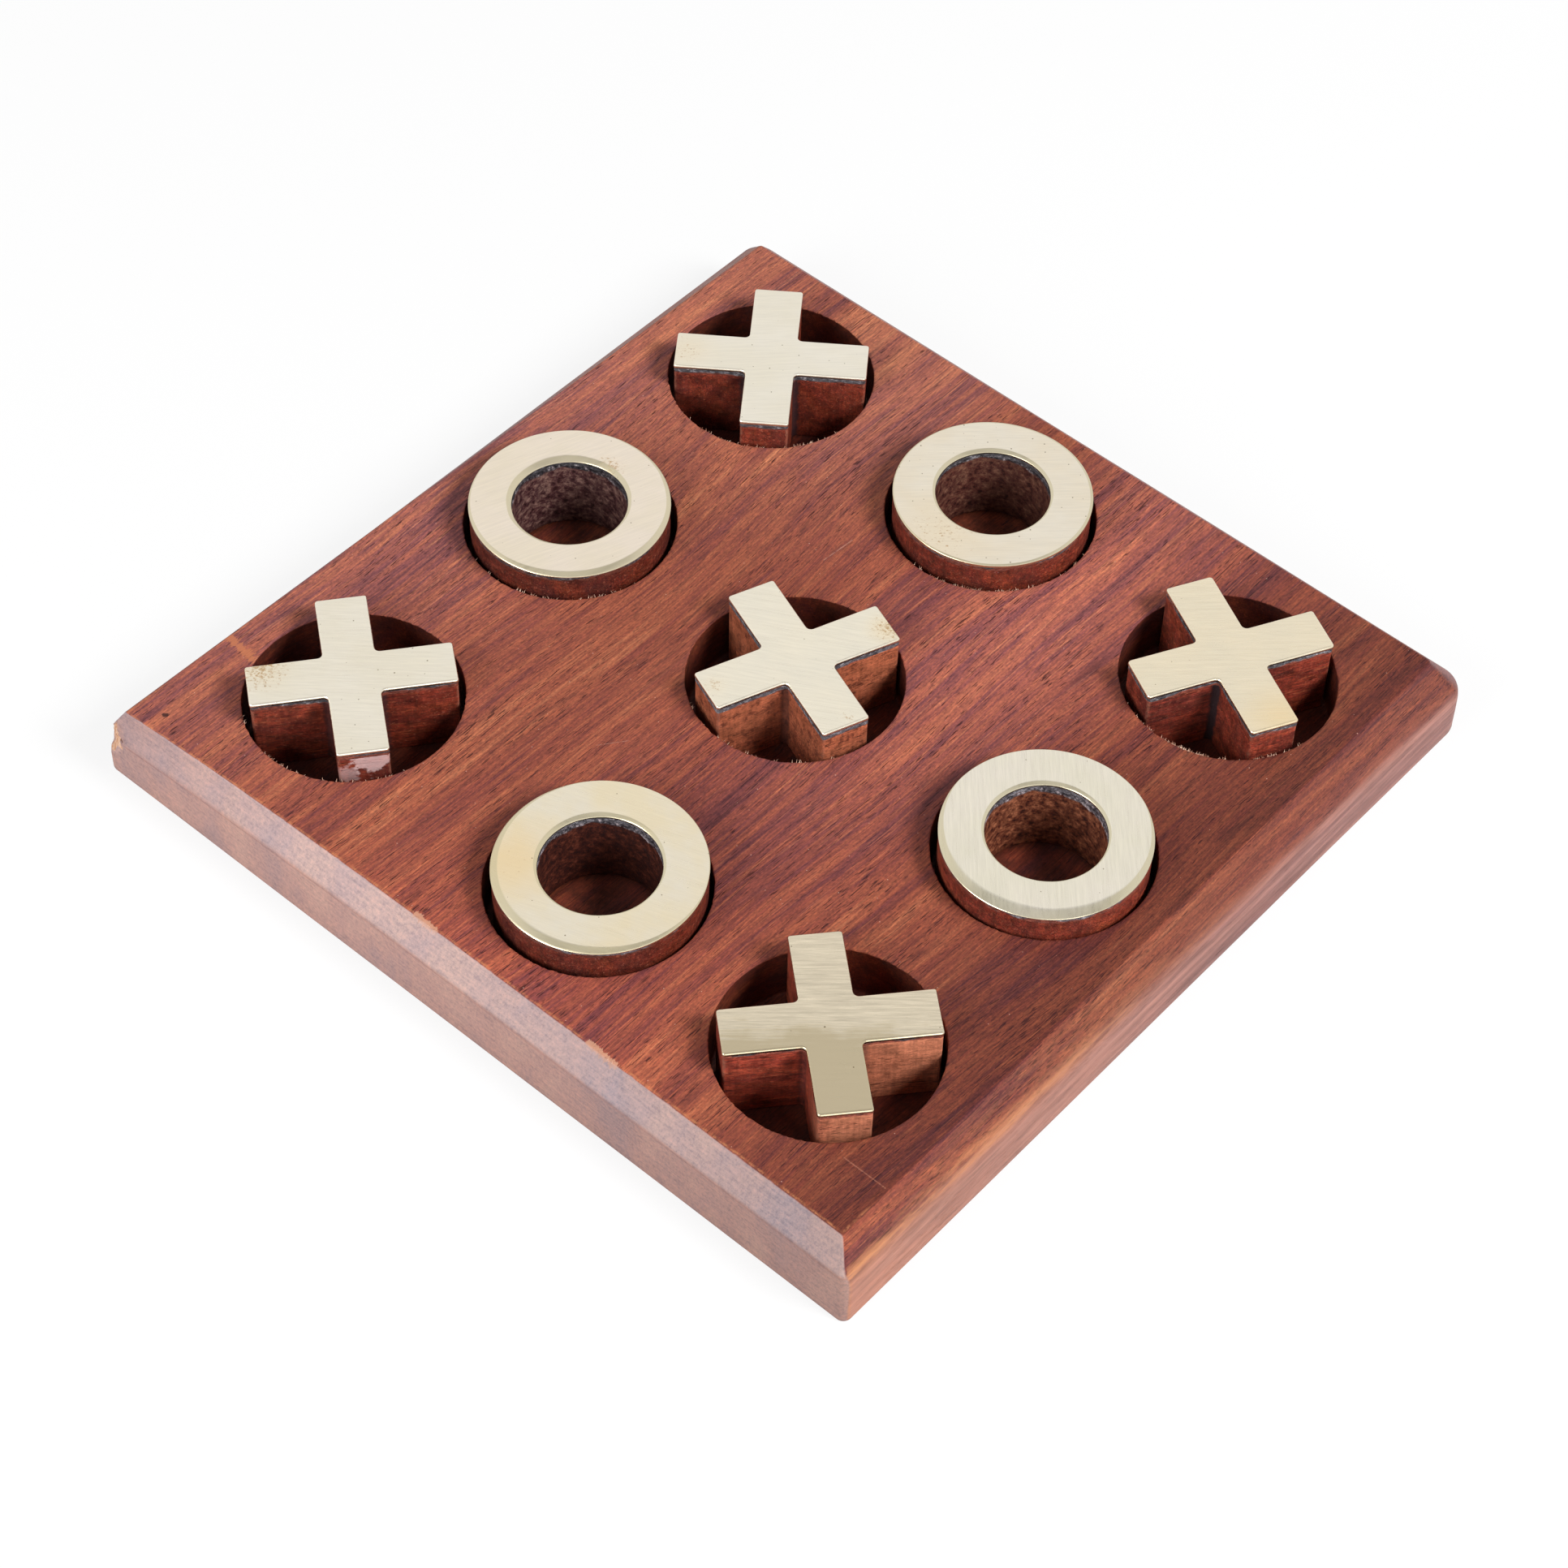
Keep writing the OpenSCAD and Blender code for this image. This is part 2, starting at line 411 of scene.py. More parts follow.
def addTop(mesh, sizes, rim, half, top):
    # A sheet of triangles between the outer edge and the recess mouths
    edge = [v.co.to_2d() for v in rim]
    flat = list(edge)
    links = [(k, (k + 1) % len(edge)) for k in range(len(edge))]
    holes = []
    count = sizes["rimSegments"]
    for lay in lays.values():
        first = len(flat)
        reach = lay["recessRadius"] + sizes["rimReach"]
        holes.append((lay["recess"], reach))
        for k in range(count):
            a = 2 * math.pi * k / count
            flat.append(lay["recess"] + reach * Vector((math.cos(a), math.sin(a))))
        links += [(first + k, first + (k + 1) % count) for k in range(count)]
    step = sizes["topGrid"]
    margin = max(max(corner["setBack"]) for corner in boardCorners)
    limit = half - margin - 0.5 * step
    rng = random.Random(11)
    rowsUp = int(2 * half / step)
    for j in range(rowsUp + 1):
        for i in range(rowsUp + 1):
            p = Vector((-half + step * (i + 0.5 * (j % 2)), -half + step * j))
            p += Vector((rng.uniform(-0.2, 0.2), rng.uniform(-0.2, 0.2)))
            if max(abs(p.x), abs(p.y)) > limit:
                nearest = min(edge, key=lambda q: (q - p).length_squared)
                if (nearest - p).dot(nearest) < 0 or (nearest - p).length < 0.45 * step:
                    continue
            if all((p - c).length > r + 0.45 * step for c, r in holes):
                flat.append(p)
    verts, _, faces, _, _, _ = delaunay_2d_cdt(flat, links, [], 0, 1e-5)
    sheet = []
    for number, p in enumerate(verts):
        calm = min([half - margin - max(abs(p.x), abs(p.y))] + [(p - c).length - r for c, r in holes])
        swell = sizes["topWave"] * (noise.noise(Vector((p.x * 0.05, p.y * 0.05, 2))) - 1)
        if number < len(edge):
            sheet.append(rim[number])
        else:
            sheet.append(mesh.verts.new(Vector((p.x, p.y, top + swell * min(1, max(0, calm / 4))))))
    # Numbers of the loop each point lies on: the outer edge, a recess mouth or none
    rings = [0] * len(edge)
    for number in range(len(holes)):
        rings += [number + 1] * count
    rings += [-1] * (len(verts) - len(rings))
    for face in faces:
        first, second, third = (verts[k] for k in sorted(face))
        ring = rings[face[0]] if len({rings[k] for k in face}) == 1 else -1
        # Slivers inside a mouth, or outside the outer edge, aren't part of the top
        if ring > 0 or (ring == 0 and (second - first).cross(third - first) <= 0):
            continue
        made = mesh.faces.new([sheet[k] for k in face])
        made.smooth = True


def addRecess(mesh, sizes, lay, top, number):
    wide = lay["recessRadius"]
    floor = lay["foot"]
    count = sizes["rimSegments"]
    dip = sizes["dimpleRadius"]
    deep = sizes["dimpleDepth"]
    # radius, height, share of the tear in the rim, share of the wall wave
    rim = [(wide + sizes["rimReach"], top, 0, 0), (wide + 0.36, top, 0.2, 0),
           (wide + 0.1, top - 0.015, 1, 0), (wide + 0.02, top - 0.07, 1, 0), (wide, top - 0.2, 0.7, 0.3)]
    rows = rim + [(wide, top - 0.5, 0.2, 1)] + [(wide, top - down, 0, 1) for down in (1.6, 3.2, 5, 7)]
    rows += [(wide, floor + 1.2, 0, 1), (wide, floor + 0.4, 0, 0.5), (wide - 0.12, floor + 0.1, 0, 0),
             (wide - 0.45, floor, 0, 0), (wide * 0.6, floor, 0, 0), (dip, floor, 0, 0),
             (dip * 0.8, floor - 0.25 * deep, 0, 0), (dip * 0.3, floor - 0.8 * deep, 0, 0)]
    rng = random.Random(70 + number)
    tears = [rng.uniform(-1, 1) for _ in range(count)]
    loops = []
    for radius, z, tear, wall in rows:
        loop = []
        for k in range(count):
            a = 2 * math.pi * k / count
            way = Vector((math.cos(a), math.sin(a)))
            endGrain = abs(way.x) ** 1.5
            rough = 0.6 * tears[k] + 0.4 * tears[(k * 7) % count]
            push = tear * sizes["rimTear"] * rough * (0.2 + 0.8 * endGrain)
            push += wall * sizes["wallWave"] * noise.noise(Vector((way.x * 5, way.y * 5, z * 0.7 + number)))
            p = lay["recess"] + way * (radius + push)
            lift = 0.35 * push if tear else 0
            loop.append(mesh.verts.new(Vector((p.x, p.y, z + min(0, lift)))))
        loops.append(loop)
    # The rows run inwards and down, so they are turned over to face the open side
    turned = [loop[::-1] for loop in loops]
    addRows(mesh, turned[:len(rim)])
    addRows(mesh, turned[len(rim) - 1:], slot=1)
    pit = mesh.verts.new(Vector((lay["recess"].x, lay["recess"].y, floor - deep)))
    last = loops[-1]
    for k in range(count):
        face = mesh.faces.new((last[k], last[(k + 1) % count], pit))
        face.material_index = 1
        face.smooth = True


board = makeBoard(boardSizes)
print("board made:", len(board.data.polygons), "faces")


# Geometry Nodes: one tree lifts a cross outline into a layer, another turns a ring section
def newTree(name, **sockets):
    # Every tree also takes a mesh, a turn, a centre and a material
    tree = bpy.data.node_groups.new(name, "GeometryNodeTree")
    labels = [("Geometry", "Geometry")]
    labels += [(label, kind) for kind, group in sockets.items() for label in group]
    labels += [("Turn", "Rotation"), ("Centre", "Vector"), ("Material", "Material")]
    for label, kind in labels:
        tree.interface.new_socket(name=label, in_out="INPUT", socket_type="NodeSocket" + kind)
    tree.interface.new_socket(name="Geometry", in_out="OUTPUT", socket_type="NodeSocketGeometry")
    g = Graph(tree)
    return g, g.add("NodeGroupInput")


def finishTree(g, geometry, given):
    values = {"Geometry": geometry, "Rotation": given["Turn"], "Translation": given["Centre"]}
    moved = g.add("GeometryNodeTransform", values)[0]
    plain = g.add("GeometryNodeRealizeInstances", {0: moved})[0]
    painted = g.add("GeometryNodeSetMaterial", {"Geometry": plain, "Material": given["Material"]})[0]
    g.add("NodeGroupOutput", {0: painted})
    return g.tree


def runTree(mesh, tree, values):
    carrier = newObject("source", mesh)
    modifier = carrier.modifiers.new("shape", "NODES")
    modifier.node_group = tree
    for item in tree.interface.items_tree:
        if item.in_out == "INPUT" and item.name in values:
            modifier[item.identifier] = values[item.name]
    graph = bpy.context.evaluated_depsgraph_get()
    made = bpy.data.meshes.new_from_object(carrier.evaluated_get(graph), depsgraph=graph)
    carrier.modifiers.remove(modifier)
    bpy.data.objects.remove(carrier)
    return made


def storeValues(mesh, name, kind, values):
    # A later attribute can move an earlier one, so each is filled before the next is made
    data = mesh.attributes.new(name, kind, "POINT").data
    for item, value in zip(data, values):
        if kind == "FLOAT":
            item.value = value
        else:
            item.vector = value


def stored(g, name, kind="FLOAT"):
    return g.add("GeometryNodeInputNamedAttribute", {"Name": name}, data_type=kind)[0]


def centredNoise(g, vector, scale, seed):
    moved = g.vectors("ADD", g.vectors("MULTIPLY", vector, g.spread(scale)), g.spread(seed))
    return g.less(g.noise(moved, 1.0), 0.5)


def roundInset(g, depth, size):
    # How far a quarter round of this size has drawn in, at a depth of 0 to 1 through it
    left = g.maths("SUBTRACT", 1.0, g.times(depth, depth), clamp=True)
    return g.times(size, g.less(1.0, g.maths("SQRT", left)))


def crossLayerTree():
    g, given = newTree("crossLayer", Int=["Rows"], Float=[
        "Foot", "Top", "Foot Round", "Top Round", "Wear", "Wobble", "Wobble Scale", "Seed"])
    foot, top, seed = given["Foot"], given["Top"], given["Seed"]
    footRound, topRound = given["Foot Round"], given["Top Round"]
    outline = g.add("GeometryNodeMeshToCurve", {0: given["Geometry"]})[0]
    line = g.add("GeometryNodeCurvePrimitiveLine", {"Start": g.upwards(foot), "End": g.upwards(top)})[0]
    path = g.add("GeometryNodeResampleCurve", {"Curve": line, "Count": given["Rows"]})[0]
    # Rows crowd towards both ends, where the edges are rounded
    factor = g.add("GeometryNodeSplineParameter")[0]
    eased = g.times(g.maths("COSINE", g.times(factor, math.pi)), -0.5, 0.5)
    height = g.times(g.less(top, foot), eased, foot)
    path = g.add("GeometryNodeSetPosition", {"Geometry": path, "Position": g.upwards(height)})[0]
    values = {"Curve": path, "Profile Curve": outline, "Fill Caps": True}
    swept = g.add("GeometryNodeCurveToMesh", values)[0]
    position = g.add("GeometryNodeInputPosition")[0]
    z = g.axes(position)[2]
    topDepth = g.maths("DIVIDE", g.less(z, g.less(top, topRound)), topRound, clamp=True)
    footDepth = g.maths("DIVIDE", g.less(g.plus(foot, footRound), z), footRound, clamp=True)
    worn = g.maths("MAXIMUM", centredNoise(g, position, 130.0, seed), 0.0)
    wornRound = g.times(g.times(worn, 5.0), given["Wear"], topRound)
    inset = g.plus(roundInset(g, topDepth, wornRound), roundInset(g, footDepth, footRound))
    ripple = centredNoise(g, position, given["Wobble Scale"], seed)
    inset = g.times(g.times(ripple, 2.0), given["Wobble"], inset)
    push = g.vectors("MULTIPLY", stored(g, "inward", "FLOAT_VECTOR"), g.spread(inset))
    shaped = g.add("GeometryNodeSetPosition", {"Geometry": swept, "Offset": push})[0]
    return finishTree(g, shaped, given)


def ringLayerTree():
    g, given = newTree("ringLayer", Int=["Segments"], Float=[
        "Path Radius", "Outer Wear", "Inner Wear", "Wear Spread", "Wear Drop", "Deepest", "Wobble",
        "Wobble Scale", "Seed"], Vector=["Outer Towards", "Inner Towards"])
    section = g.add("GeometryNodeMeshToCurve", {0: given["Geometry"]})[0]
    values = {"Resolution": given["Segments"], "Radius": given["Path Radius"]}
    circle = g.add("GeometryNodeCurvePrimitiveCircle", values)[0]
    swept = g.add("GeometryNodeCurveToMesh", {"Curve": circle, "Profile Curve": section})[0]
    position = g.add("GeometryNodeInputPosition")[0]
    outward = g.vectors("NORMALIZE", g.level(position))
    # The worn edge grows and shrinks round the ring, and differently on its two edges
    side = stored(g, "side")
    waves = centredNoise(g, outward, 1.7, g.times(side, 7.0, given["Seed"]))
    width = g.times(g.times(waves, 3.0), given["Wear Spread"], 1.0)
    isOuter = g.maths("GREATER_THAN", side, 0.0)
    values = {0: isOuter, 4: given["Inner Towards"], 5: given["Outer Towards"]}
    towards = g.add("ShaderNodeMix", values, data_type="VECTOR")[1]
    width = g.maths("MAXIMUM", g.plus(width, g.vectors("DOT_PRODUCT", outward, towards)), 0.1)
    wornMost = g.add("ShaderNodeMix", {0: isOuter, 2: given["Inner Wear"], 3: given["Outer Wear"]})[0]
    width = g.times(width, wornMost)
    drop = g.maths("MINIMUM", g.times(width, given["Wear Drop"]), given["Deepest"])
    wear = g.axes(stored(g, "wear", "FLOAT_VECTOR"))
    ripple = g.times(centredNoise(g, position, given["Wobble Scale"], given["Seed"]), stored(g, "free"))
    along = g.times(g.times(ripple, given["Wobble"]), 2.0, g.times(wear[0], width))
    down = g.upwards(g.times(wear[2], drop))
    push = g.vectors("ADD", g.vectors("MULTIPLY", outward, g.spread(along)), down)
    shaped = g.add("GeometryNodeSetPosition", {"Geometry": swept, "Offset": push})[0]
    return finishTree(g, shaped, given)


crossTree = crossLayerTree()
ringTree = ringLayerTree()


# Materials
def newMaterial(name):
    material = bpy.data.materials.new(name)
    material.use_nodes = True
    return material, Graph(material.node_tree)


def surface(g, base, rough, height=None, depth=0.0, specular=0.5, metallic=0.0):
    # depth: metres of relief for a height of one
    values = {"Base Color": base, "Roughness": rough, "Specular IOR Level": specular, "Metallic": metallic}
    if height is not None:
        values["Normal"] = g.add("ShaderNodeBump", {"Height": height, "Distance": depth})[0]
    for key, value in values.items():
        g.feed(g.tree.nodes["Principled BSDF"].inputs[key], value)


def millimetres(g, centre=(0, 0), turn=0.0):
    # Object coordinates in mm, centred and turned as the piece lies
    middle = Matrix.Rotation(-turn, 2) @ Vector(centre)
    values = {"Vector": g.add("ShaderNodeTexCoord")["Object"], "Location": (-middle.x, -middle.y, 0),
              "Rotation": (0, 0, -turn), "Scale": (1000, 1000, 1000)}
    return g.add("ShaderNodeMapping", values)[0]


def facing(g):
    return g.axes(g.add("ShaderNodeTexCoord")["Normal"])


woodTones = {
    "dark": (0.075, 0.021, 0.023),
    "purple": (0.145, 0.040, 0.040),
    "brown": (0.225, 0.058, 0.040),
    "warm": (0.310, 0.086, 0.048),
    "orange": (0.410, 0.135, 0.070),
    "pore": (0.032, 0.010, 0.011),
}
boardGrain = {
    "seed": 3.0,
    "strip": (64.0, 68.0),      # mm from the middle, where the tones of the sides take over
    "topFade": (14.0, 14.12),   # mm up, where those of the top do
}
# Stretches of the top that are darker or lighter: middle and reach along and across the grain, tint
woodPlaces = [
    ((0, -80), (400, 55), (0.42, 0.40, 0.42)),
    ((12, 85), (200, 65), (1.70, 2.15, 2.20)),
    ((40, -18), (90, 28), (1.60, 1.85, 1.90)),
    ((62, 28), (55, 26), (1.45, 1.80, 1.85)),
    ((-5, 24), (70, 20), (0.90, 0.93, 0.94)),
    ((-80, -8), (42, 48), (1.32, 1.24, 1.24)),
]


def woodGrain(g, p, tones, shift, contrast=1.0):
    # Growth layers, streaks, fibres and pores as one solid texture with its grain along X
    moved = g.vectors("ADD", p, (shift * 13.7, shift * 5.3, shift * 3.1))
    drift = g.less(g.noise(moved, (0.010, 0.02), 1.0), 0.5)
    bend = g.add("ShaderNodeCombineXYZ", {1: g.times(drift, 14.0), 2: g.times(drift, -6.0)})[0]
    q = g.vectors("ADD", moved, bend)
    broad = g.noise(q, (0.006, 0.07), 1.0, 0.4)
    streaks = g.noise(q, (0.014, 0.34), 3.0, 0.62)
    threads = g.noise(q, (0.08, 2.3), 2.0, 0.6)
    fibres = g.noise(q, (0.36, 4.6), 2.0, 0.65)
    grit = g.noise(q, (1.9, 3.4), 2.0, 0.7)
    blend = g.times(threads, 0.28, g.times(streaks, 0.44, g.times(broad, 0.28)))
    half = 0.145 / contrast
    body = g.ramp(g.remap(blend, 0.5 - half, 0.5 + half), [
        (0.0, tones["dark"]), (0.20, tones["purple"]), (0.46, tones["brown"]), (0.76, tones["warm"]),
        (1.0, tones["orange"])])
    # Thin dark lines follow the growth layers, and thin bright ones the open fibres
    layer = g.maths("ABSOLUTE", g.less(g.noise(q, (0.010, 0.30), 2.0, 0.45), 0.5))
    veins = g.times(g.remap(layer, 0.0, 0.022, 0.7, 0.0), g.remap(threads, 0.35, 0.6))
    body = g.mix(veins, body, tones["dark"])
    bright = g.noise(q, (0.06, 4.2), 0.0)
    body = g.mix(g.remap(bright, 0.66, 0.78, 0.0, 0.4), body, tones["orange"])
    relief = g.times(grit, 0.5, g.times(fibres, 0.5))
    body = g.tint(body, g.ramp(g.remap(relief, 0.35, 0.65), [
        (0.0, (0.56, 0.58, 0.68)), (0.5, (0.96, 0.96, 0.96)), (1.0, (1.46, 1.38, 1.26))]))
    dashes = g.noise(q, (0.44, 6.0), 0.0)
    limit = g.remap(g.noise(q, (0.03, 0.22), 1.0), 0.3, 0.7, 0.78, 0.64)
    return body, g.remap(g.less(dashes, limit), 0.0, 0.05), relief


def nearLine(g, p, start, end, jag):
    # Distance in mm from a short line on the board's top, with a ragged edge
    first, last = Vector(start + (0,)), Vector(end + (0,))
    along = last - first
    flat = g.level(p)
    away = g.vectors("SUBTRACT", flat, tuple(first))
    reached = g.vectors("DOT_PRODUCT", away, tuple(along))
    share = g.maths("DIVIDE", reached, along.length_squared, clamp=True)
    distance = g.vectors("DISTANCE", away, g.vectors("MULTIPLY", g.spread(share), tuple(along)))
    return g.times(g.less(g.noise(flat, (0.8, 2.6), 3.0, 0.7), 0.5), jag, distance)


# Marks on the top: start and end in mm, half width, ragged edge, strength, tone
topMarks = [
    ((-52.3, 70.6), (-52.8, 64.4), 0.70, 3.8, 0.72, (0.52, 0.180, 0.085)),
    ((-61.4, -62.6), (-61.4, -70.1), 0.14, 0.5, 0.45, (0.42, 0.170, 0.110)),
    ((22.2, 13.9), (28.5, 13.4), 0.12, 0.5, 0.55, (0.50, 0.270, 0.200)),
    ((-30.0, 14.0), (-26.0, 11.0), 0.10, 0.4, 0.45, (0.50, 0.270, 0.200)),
    ((-69.6, 66.2), (-69.4, 66.0), 0.40, 0.5, 0.90, (0.030, 0.010, 0.010)),
    ((-71.0, 11.2), (-71.2, 7.2), 0.50, 1.8, 0.75, (0.55, 0.290, 0.190)),
    ((-70.8, -23.0), (-71.2, -28.4), 0.50, 1.8, 0.75, (0.55, 0.290, 0.190)),
]
# The last two are splintered nicks, where torn fibres stand up
nickMarks = topMarks[-2:]


def endGrainAndSheenTone(g, p, flat, y, arris):
    # End grain is greyer, dotted with open pores, and brushed along the edge; its paler tone is partly the
    # bare end grain, partly painted sheen. It also darkens towards the front
    cloud = g.noise(p, (0.05, 0.11, 0.05), 3.0, 0.6)
    pale = g.ramp(cloud, [
        (0.32, (0.37, 0.285, 0.300)), (0.50, (0.44, 0.310, 0.295)), (0.68, (0.49, 0.340, 0.305))])
    upright = g.ramp(cloud, [
        (0.32, (0.32, 0.205, 0.195)), (0.50, (0.38, 0.225, 0.195)), (0.68, (0.43, 0.260, 0.215))])
    base = g.shade(g.mix(flat, upright, pale), g.remap(y, -75.0, 20.0, 0.70, 1.0))
    brushed = g.noise(p, (3.0, 0.22, 3.0), 2.0, 0.6)
    dust = g.times(brushed, 0.35, g.times(g.noise(p, 1.7, 3.0, 0.75), 0.65))
    base = g.tint(base, g.ramp(dust, [
        (0.34, (0.70, 0.72, 0.80)), (0.5, (1.0, 1.0, 1.0)), (0.66, (1.28, 1.16, 1.10))]))
    distance, chosen = g.dots(g.stretch(p, 0.2, 1.15), 1.0)
    pores = g.times(g.remap(distance, 0.08, 0.17, 1.0, 0.0), g.remap(chosen, 0.3, 0.9, 0.0, 0.6))
    base = g.mix(g.times(pores, g.remap(flat, 0.0, 1.0, 0.25, 0.5)), base, (0.24, 0.085, 0.07))
    return g.mix(g.remap(arris, 0.3, 1.0, 0.0, 0.35), base, (0.22, 0.09, 0.075))


def nearSideToneAndLight(g, p, x):
    # The near side is straight-grained and rubbed in streaks. It is paler than the top, and paler and more
    # orange towards the front corner: partly the wood's own tone, partly painted sheen and light
    straight = g.noise(p, (0.02, 0.9), 3.0, 0.6)
    base = g.ramp(straight, [(0.35, (0.19, 0.088, 0.080)), (0.62, (0.32, 0.158, 0.130))])
    base = g.mix(g.remap(x, 10.0, -75.0, 0.0, 0.8), base, (0.40, 0.180, 0.115))
    rubbed = g.noise(p, (0.10, 0.9), 4.0, 0.68)
    return g.shade(base, g.remap(rubbed, 0.32, 0.68, 0.70, 1.26)), rubbed


def broadTones(g, p, base, onTop):
    for middle, reach, tint in woodPlaces:
        away = g.vectors("SUBTRACT", p, middle + (0,))
        away = g.vectors("LENGTH", g.stretch(away, 1 / reach[0], 1 / reach[1], 0))
        light = g.mix(g.remap(away, 0.0, 1.0, smooth=True), tint, (1.0, 1.0, 1.0))
        base = g.mix(onTop, base, g.tint(base, light))
    return base


def specksAndMarks(g, p, base, up):
    # Small pale specks of dust and filler, then the larger marks, on what faces up
    distance, chosen = g.dots(p, 0.30, voronoi_dimensions="2D")
    seen = g.remap(g.less(distance, g.remap(chosen, 0.5, 1.0, 0.0, 0.034)), -0.012, 0.0, 1.0, 0.0)
    seen = g.times(seen, g.remap(up, 0.8, 0.95, 0.0, 0.65))
    base = g.mix(seen, base, (0.60, 0.36, 0.28))
    for start, end, halfWidth, jag, strength, tone in topMarks:
        distance = nearLine(g, p, start, end, jag)
        mark = g.remap(distance, halfWidth, halfWidth - 0.12, 0.0, strength)
        base = g.mix(g.times(mark, g.remap(up, 0.5, 0.8)), base, tone)
    return base


def boardWood():
    material, g = newMaterial("boardWood")
    p = millimetres(g)
    base, pores, relief = woodGrain(g, p, woodTones, boardGrain["seed"])
    normal = facing(g)
    x, y, z = g.axes(p)
    start, end = boardGrain["strip"]
    leftStrip, nearStrip = g.remap(x, -start, -end), g.remap(y, -start, -end)
    rightStrip = g.remap(x, start, end)
    onTop = g.remap(z, *boardGrain["topFade"])
    offTop = g.remap(onTop, 0.0, 1.0, 1.0, 0.0)
    base = broadTones(g, p, base, onTop)
    # Painted shade: the near chamfer is darkened below the top's tone, most from the middle to the right end
    nearness = g.times(g.times(normal[1], -1.0), offTop)
    paintedNearShade = g.shade(base, g.remap(x, -65.0, -15.0, 0.84, 0.62))
    base = g.mix(g.remap(nearness, 0.35, 0.6), base, paintedNearShade)
    base = g.mix(g.times(pores, 0.8), base, woodTones["pore"])
    arris = g.add("ShaderNodeAttribute", attribute_name="arris")["Fac"]
    endGrainAndSheen = endGrainAndSheenTone(g, p, g.remap(normal[2], 0.2, 0.6), y, arris)
    # The end-grain tone with its painted sheen is full on the left end, which the left lamp lights, and weak
    # on the right end
    left = g.remap(g.times(normal[0], -1.0), 0.25, 0.6, smooth=True)
    right = g.remap(normal[0], 0.25, 0.6, 0.0, 0.3, smooth=True)
    endGrain = g.maths("MAXIMUM", g.times(left, g.times(leftStrip, offTop)), g.times(right, rightStrip))
    side, rubbed = nearSideToneAndLight(g, p, x)
    nearSide = g.times(g.remap(nearness, 0.72, 0.98, 0.0, 0.75, smooth=True), nearStrip)
    base = g.mix(nearSide, base, side)
    # Wear along the broad round between the near side and its chamfer
    turned = g.maths("ABSOLUTE", g.less(nearness, 0.86))
    crease = g.times(g.remap(turned, 0.14, 0.02), nearStrip)
    crease = g.times(crease, g.remap(x, 30.0, -60.0, 0.0, 0.65))
    crease = g.times(crease, g.remap(rubbed, 0.40, 0.60, 0.15, 1.15))
    base = g.mix(crease, base, (0.50, 0.215, 0.095))
    base = g.mix(endGrain, base, endGrainAndSheen)
    # The worn arris over the end grain shows bare orange wood
    nicks = g.noise(p, (0.9, 0.9), 3.0, 0.7)
    bare = g.times(g.remap(g.times(arris, -1.0), 0.3, 1.0), g.remap(nicks, 0.45, 0.6, 0.1, 0.7))
    base = g.mix(g.times(bare, leftStrip), base, (0.50, 0.20, 0.09))
    base = specksAndMarks(g, p, base, normal[2])
    rough = g.remap(g.noise(p, (0.03, 0.06), 3.0), 0.3, 0.7, 0.40, 0.54)
    rough = g.times(endGrain, 0.15, g.times(pores, 0.2, rough))
    surface(g, base, rough, g.less(g.times(relief, 0.6), pores), 0.00003, specular=0.18)
    return material


def recessWood():
    material, g = newMaterial("recessWood")
    p = millimetres(g)
    base, pores, _ = woodGrain(g, p, woodTones, boardGrain["seed"])
    # The recess wood is tinted darker, with patches near black: partly darker wood and dirt, partly painted
    # shade in the recess
    dirtAndShade = g.noise(p, 0.35, 4.0, 0.65)
    dull = g.tint(base, (0.50, 0.42, 0.38))
    base = g.mix(g.remap(dirtAndShade, 0.42, 0.68, 0.0, 0.7), dull, (0.03, 0.012, 0.009))
    base = g.mix(g.times(pores, 0.8), base, woodTones["pore"])
    # Painted light: the floor seen through a ring's bore is lightened up to about twofold, taking back part
    # of the recess's painted shade
    for lay in lays.values():
        if "bore" in lay:
            away = g.vectors("DISTANCE", g.level(p), (*lay["centre"], 0))
            paintedBoreLight = g.remap(away, lay["bore"] - 1.5, lay["bore"] + 0.5, 2.1, 1.0, smooth=True)
            base = g.shade(base, paintedBoreLight)
    tools = g.noise(p, (0.5, 2.2), 3.0, 0.6)
    surface(g, base, g.remap(dirtAndShade, 0.3, 0.7, 0.42, 0.7), g.less(tools, pores), 0.00006, specular=0.3)
    return material


rawTones = [(0.34, 0.13, 0.07), (0.56, 0.30, 0.17), (0.66, 0.44, 0.33)]
crackPlace = Vector((-74.2, 71.2, 8.6))     # mm, a dark split in the splintered corner


def rawWood():
    material, g = newMaterial("rawWood")
    p = millimetres(g)
    torn = g.noise(p, (0.6, 2.0), 4.0, 0.6)
    base = g.ramp(torn, list(zip((0.30, 0.45, 0.65), rawTones)))
    away = g.vectors("DISTANCE", g.stretch(p, 0.45, 0.45), tuple(crackPlace * 0.45))
    crack = g.remap(g.times(torn, 0.5, away), 0.62, 0.50, 0.0, 0.85)
    surface(g, g.mix(crack, base, (0.10, 0.035, 0.03)), 0.8, torn, 0.0002)
    return material


def tornFibre():
    material, g = newMaterial("tornFibre")
    tones = [(0.35, (0.30, 0.12, 0.07)), (0.62, rawTones[-1])]
    surface(g, g.ramp(g.noise(millimetres(g), 1.1), tones), 0.7)
    return material


pieceTones = {
    "dark": (0.060, 0.011, 0.008),
    "purple": (0.130, 0.024, 0.017),
    "brown": (0.238, 0.037, 0.021),
    "warm": (0.345, 0.067, 0.030),
    "orange": (0.485, 0.134, 0.055),
    "pore": (0.020, 0.006, 0.005),
}
pieceSizes = {
    "smearDrop": 1.5,       # mm below the adhesive that smears of it reach
    "cornerLine": 0.55,     # half width of the dark line down each inner corner
    "ringTurn": 0.3,        # radians, direction of the grain of the rings
}


def glueRamp(g, crumbs, level, stops, crest):
    # Dark filled adhesive, lighter in some pieces, with pale crests
    return g.ramp(crumbs, [(at, scaled(tone, level)) for at, tone in stops] + [crest])


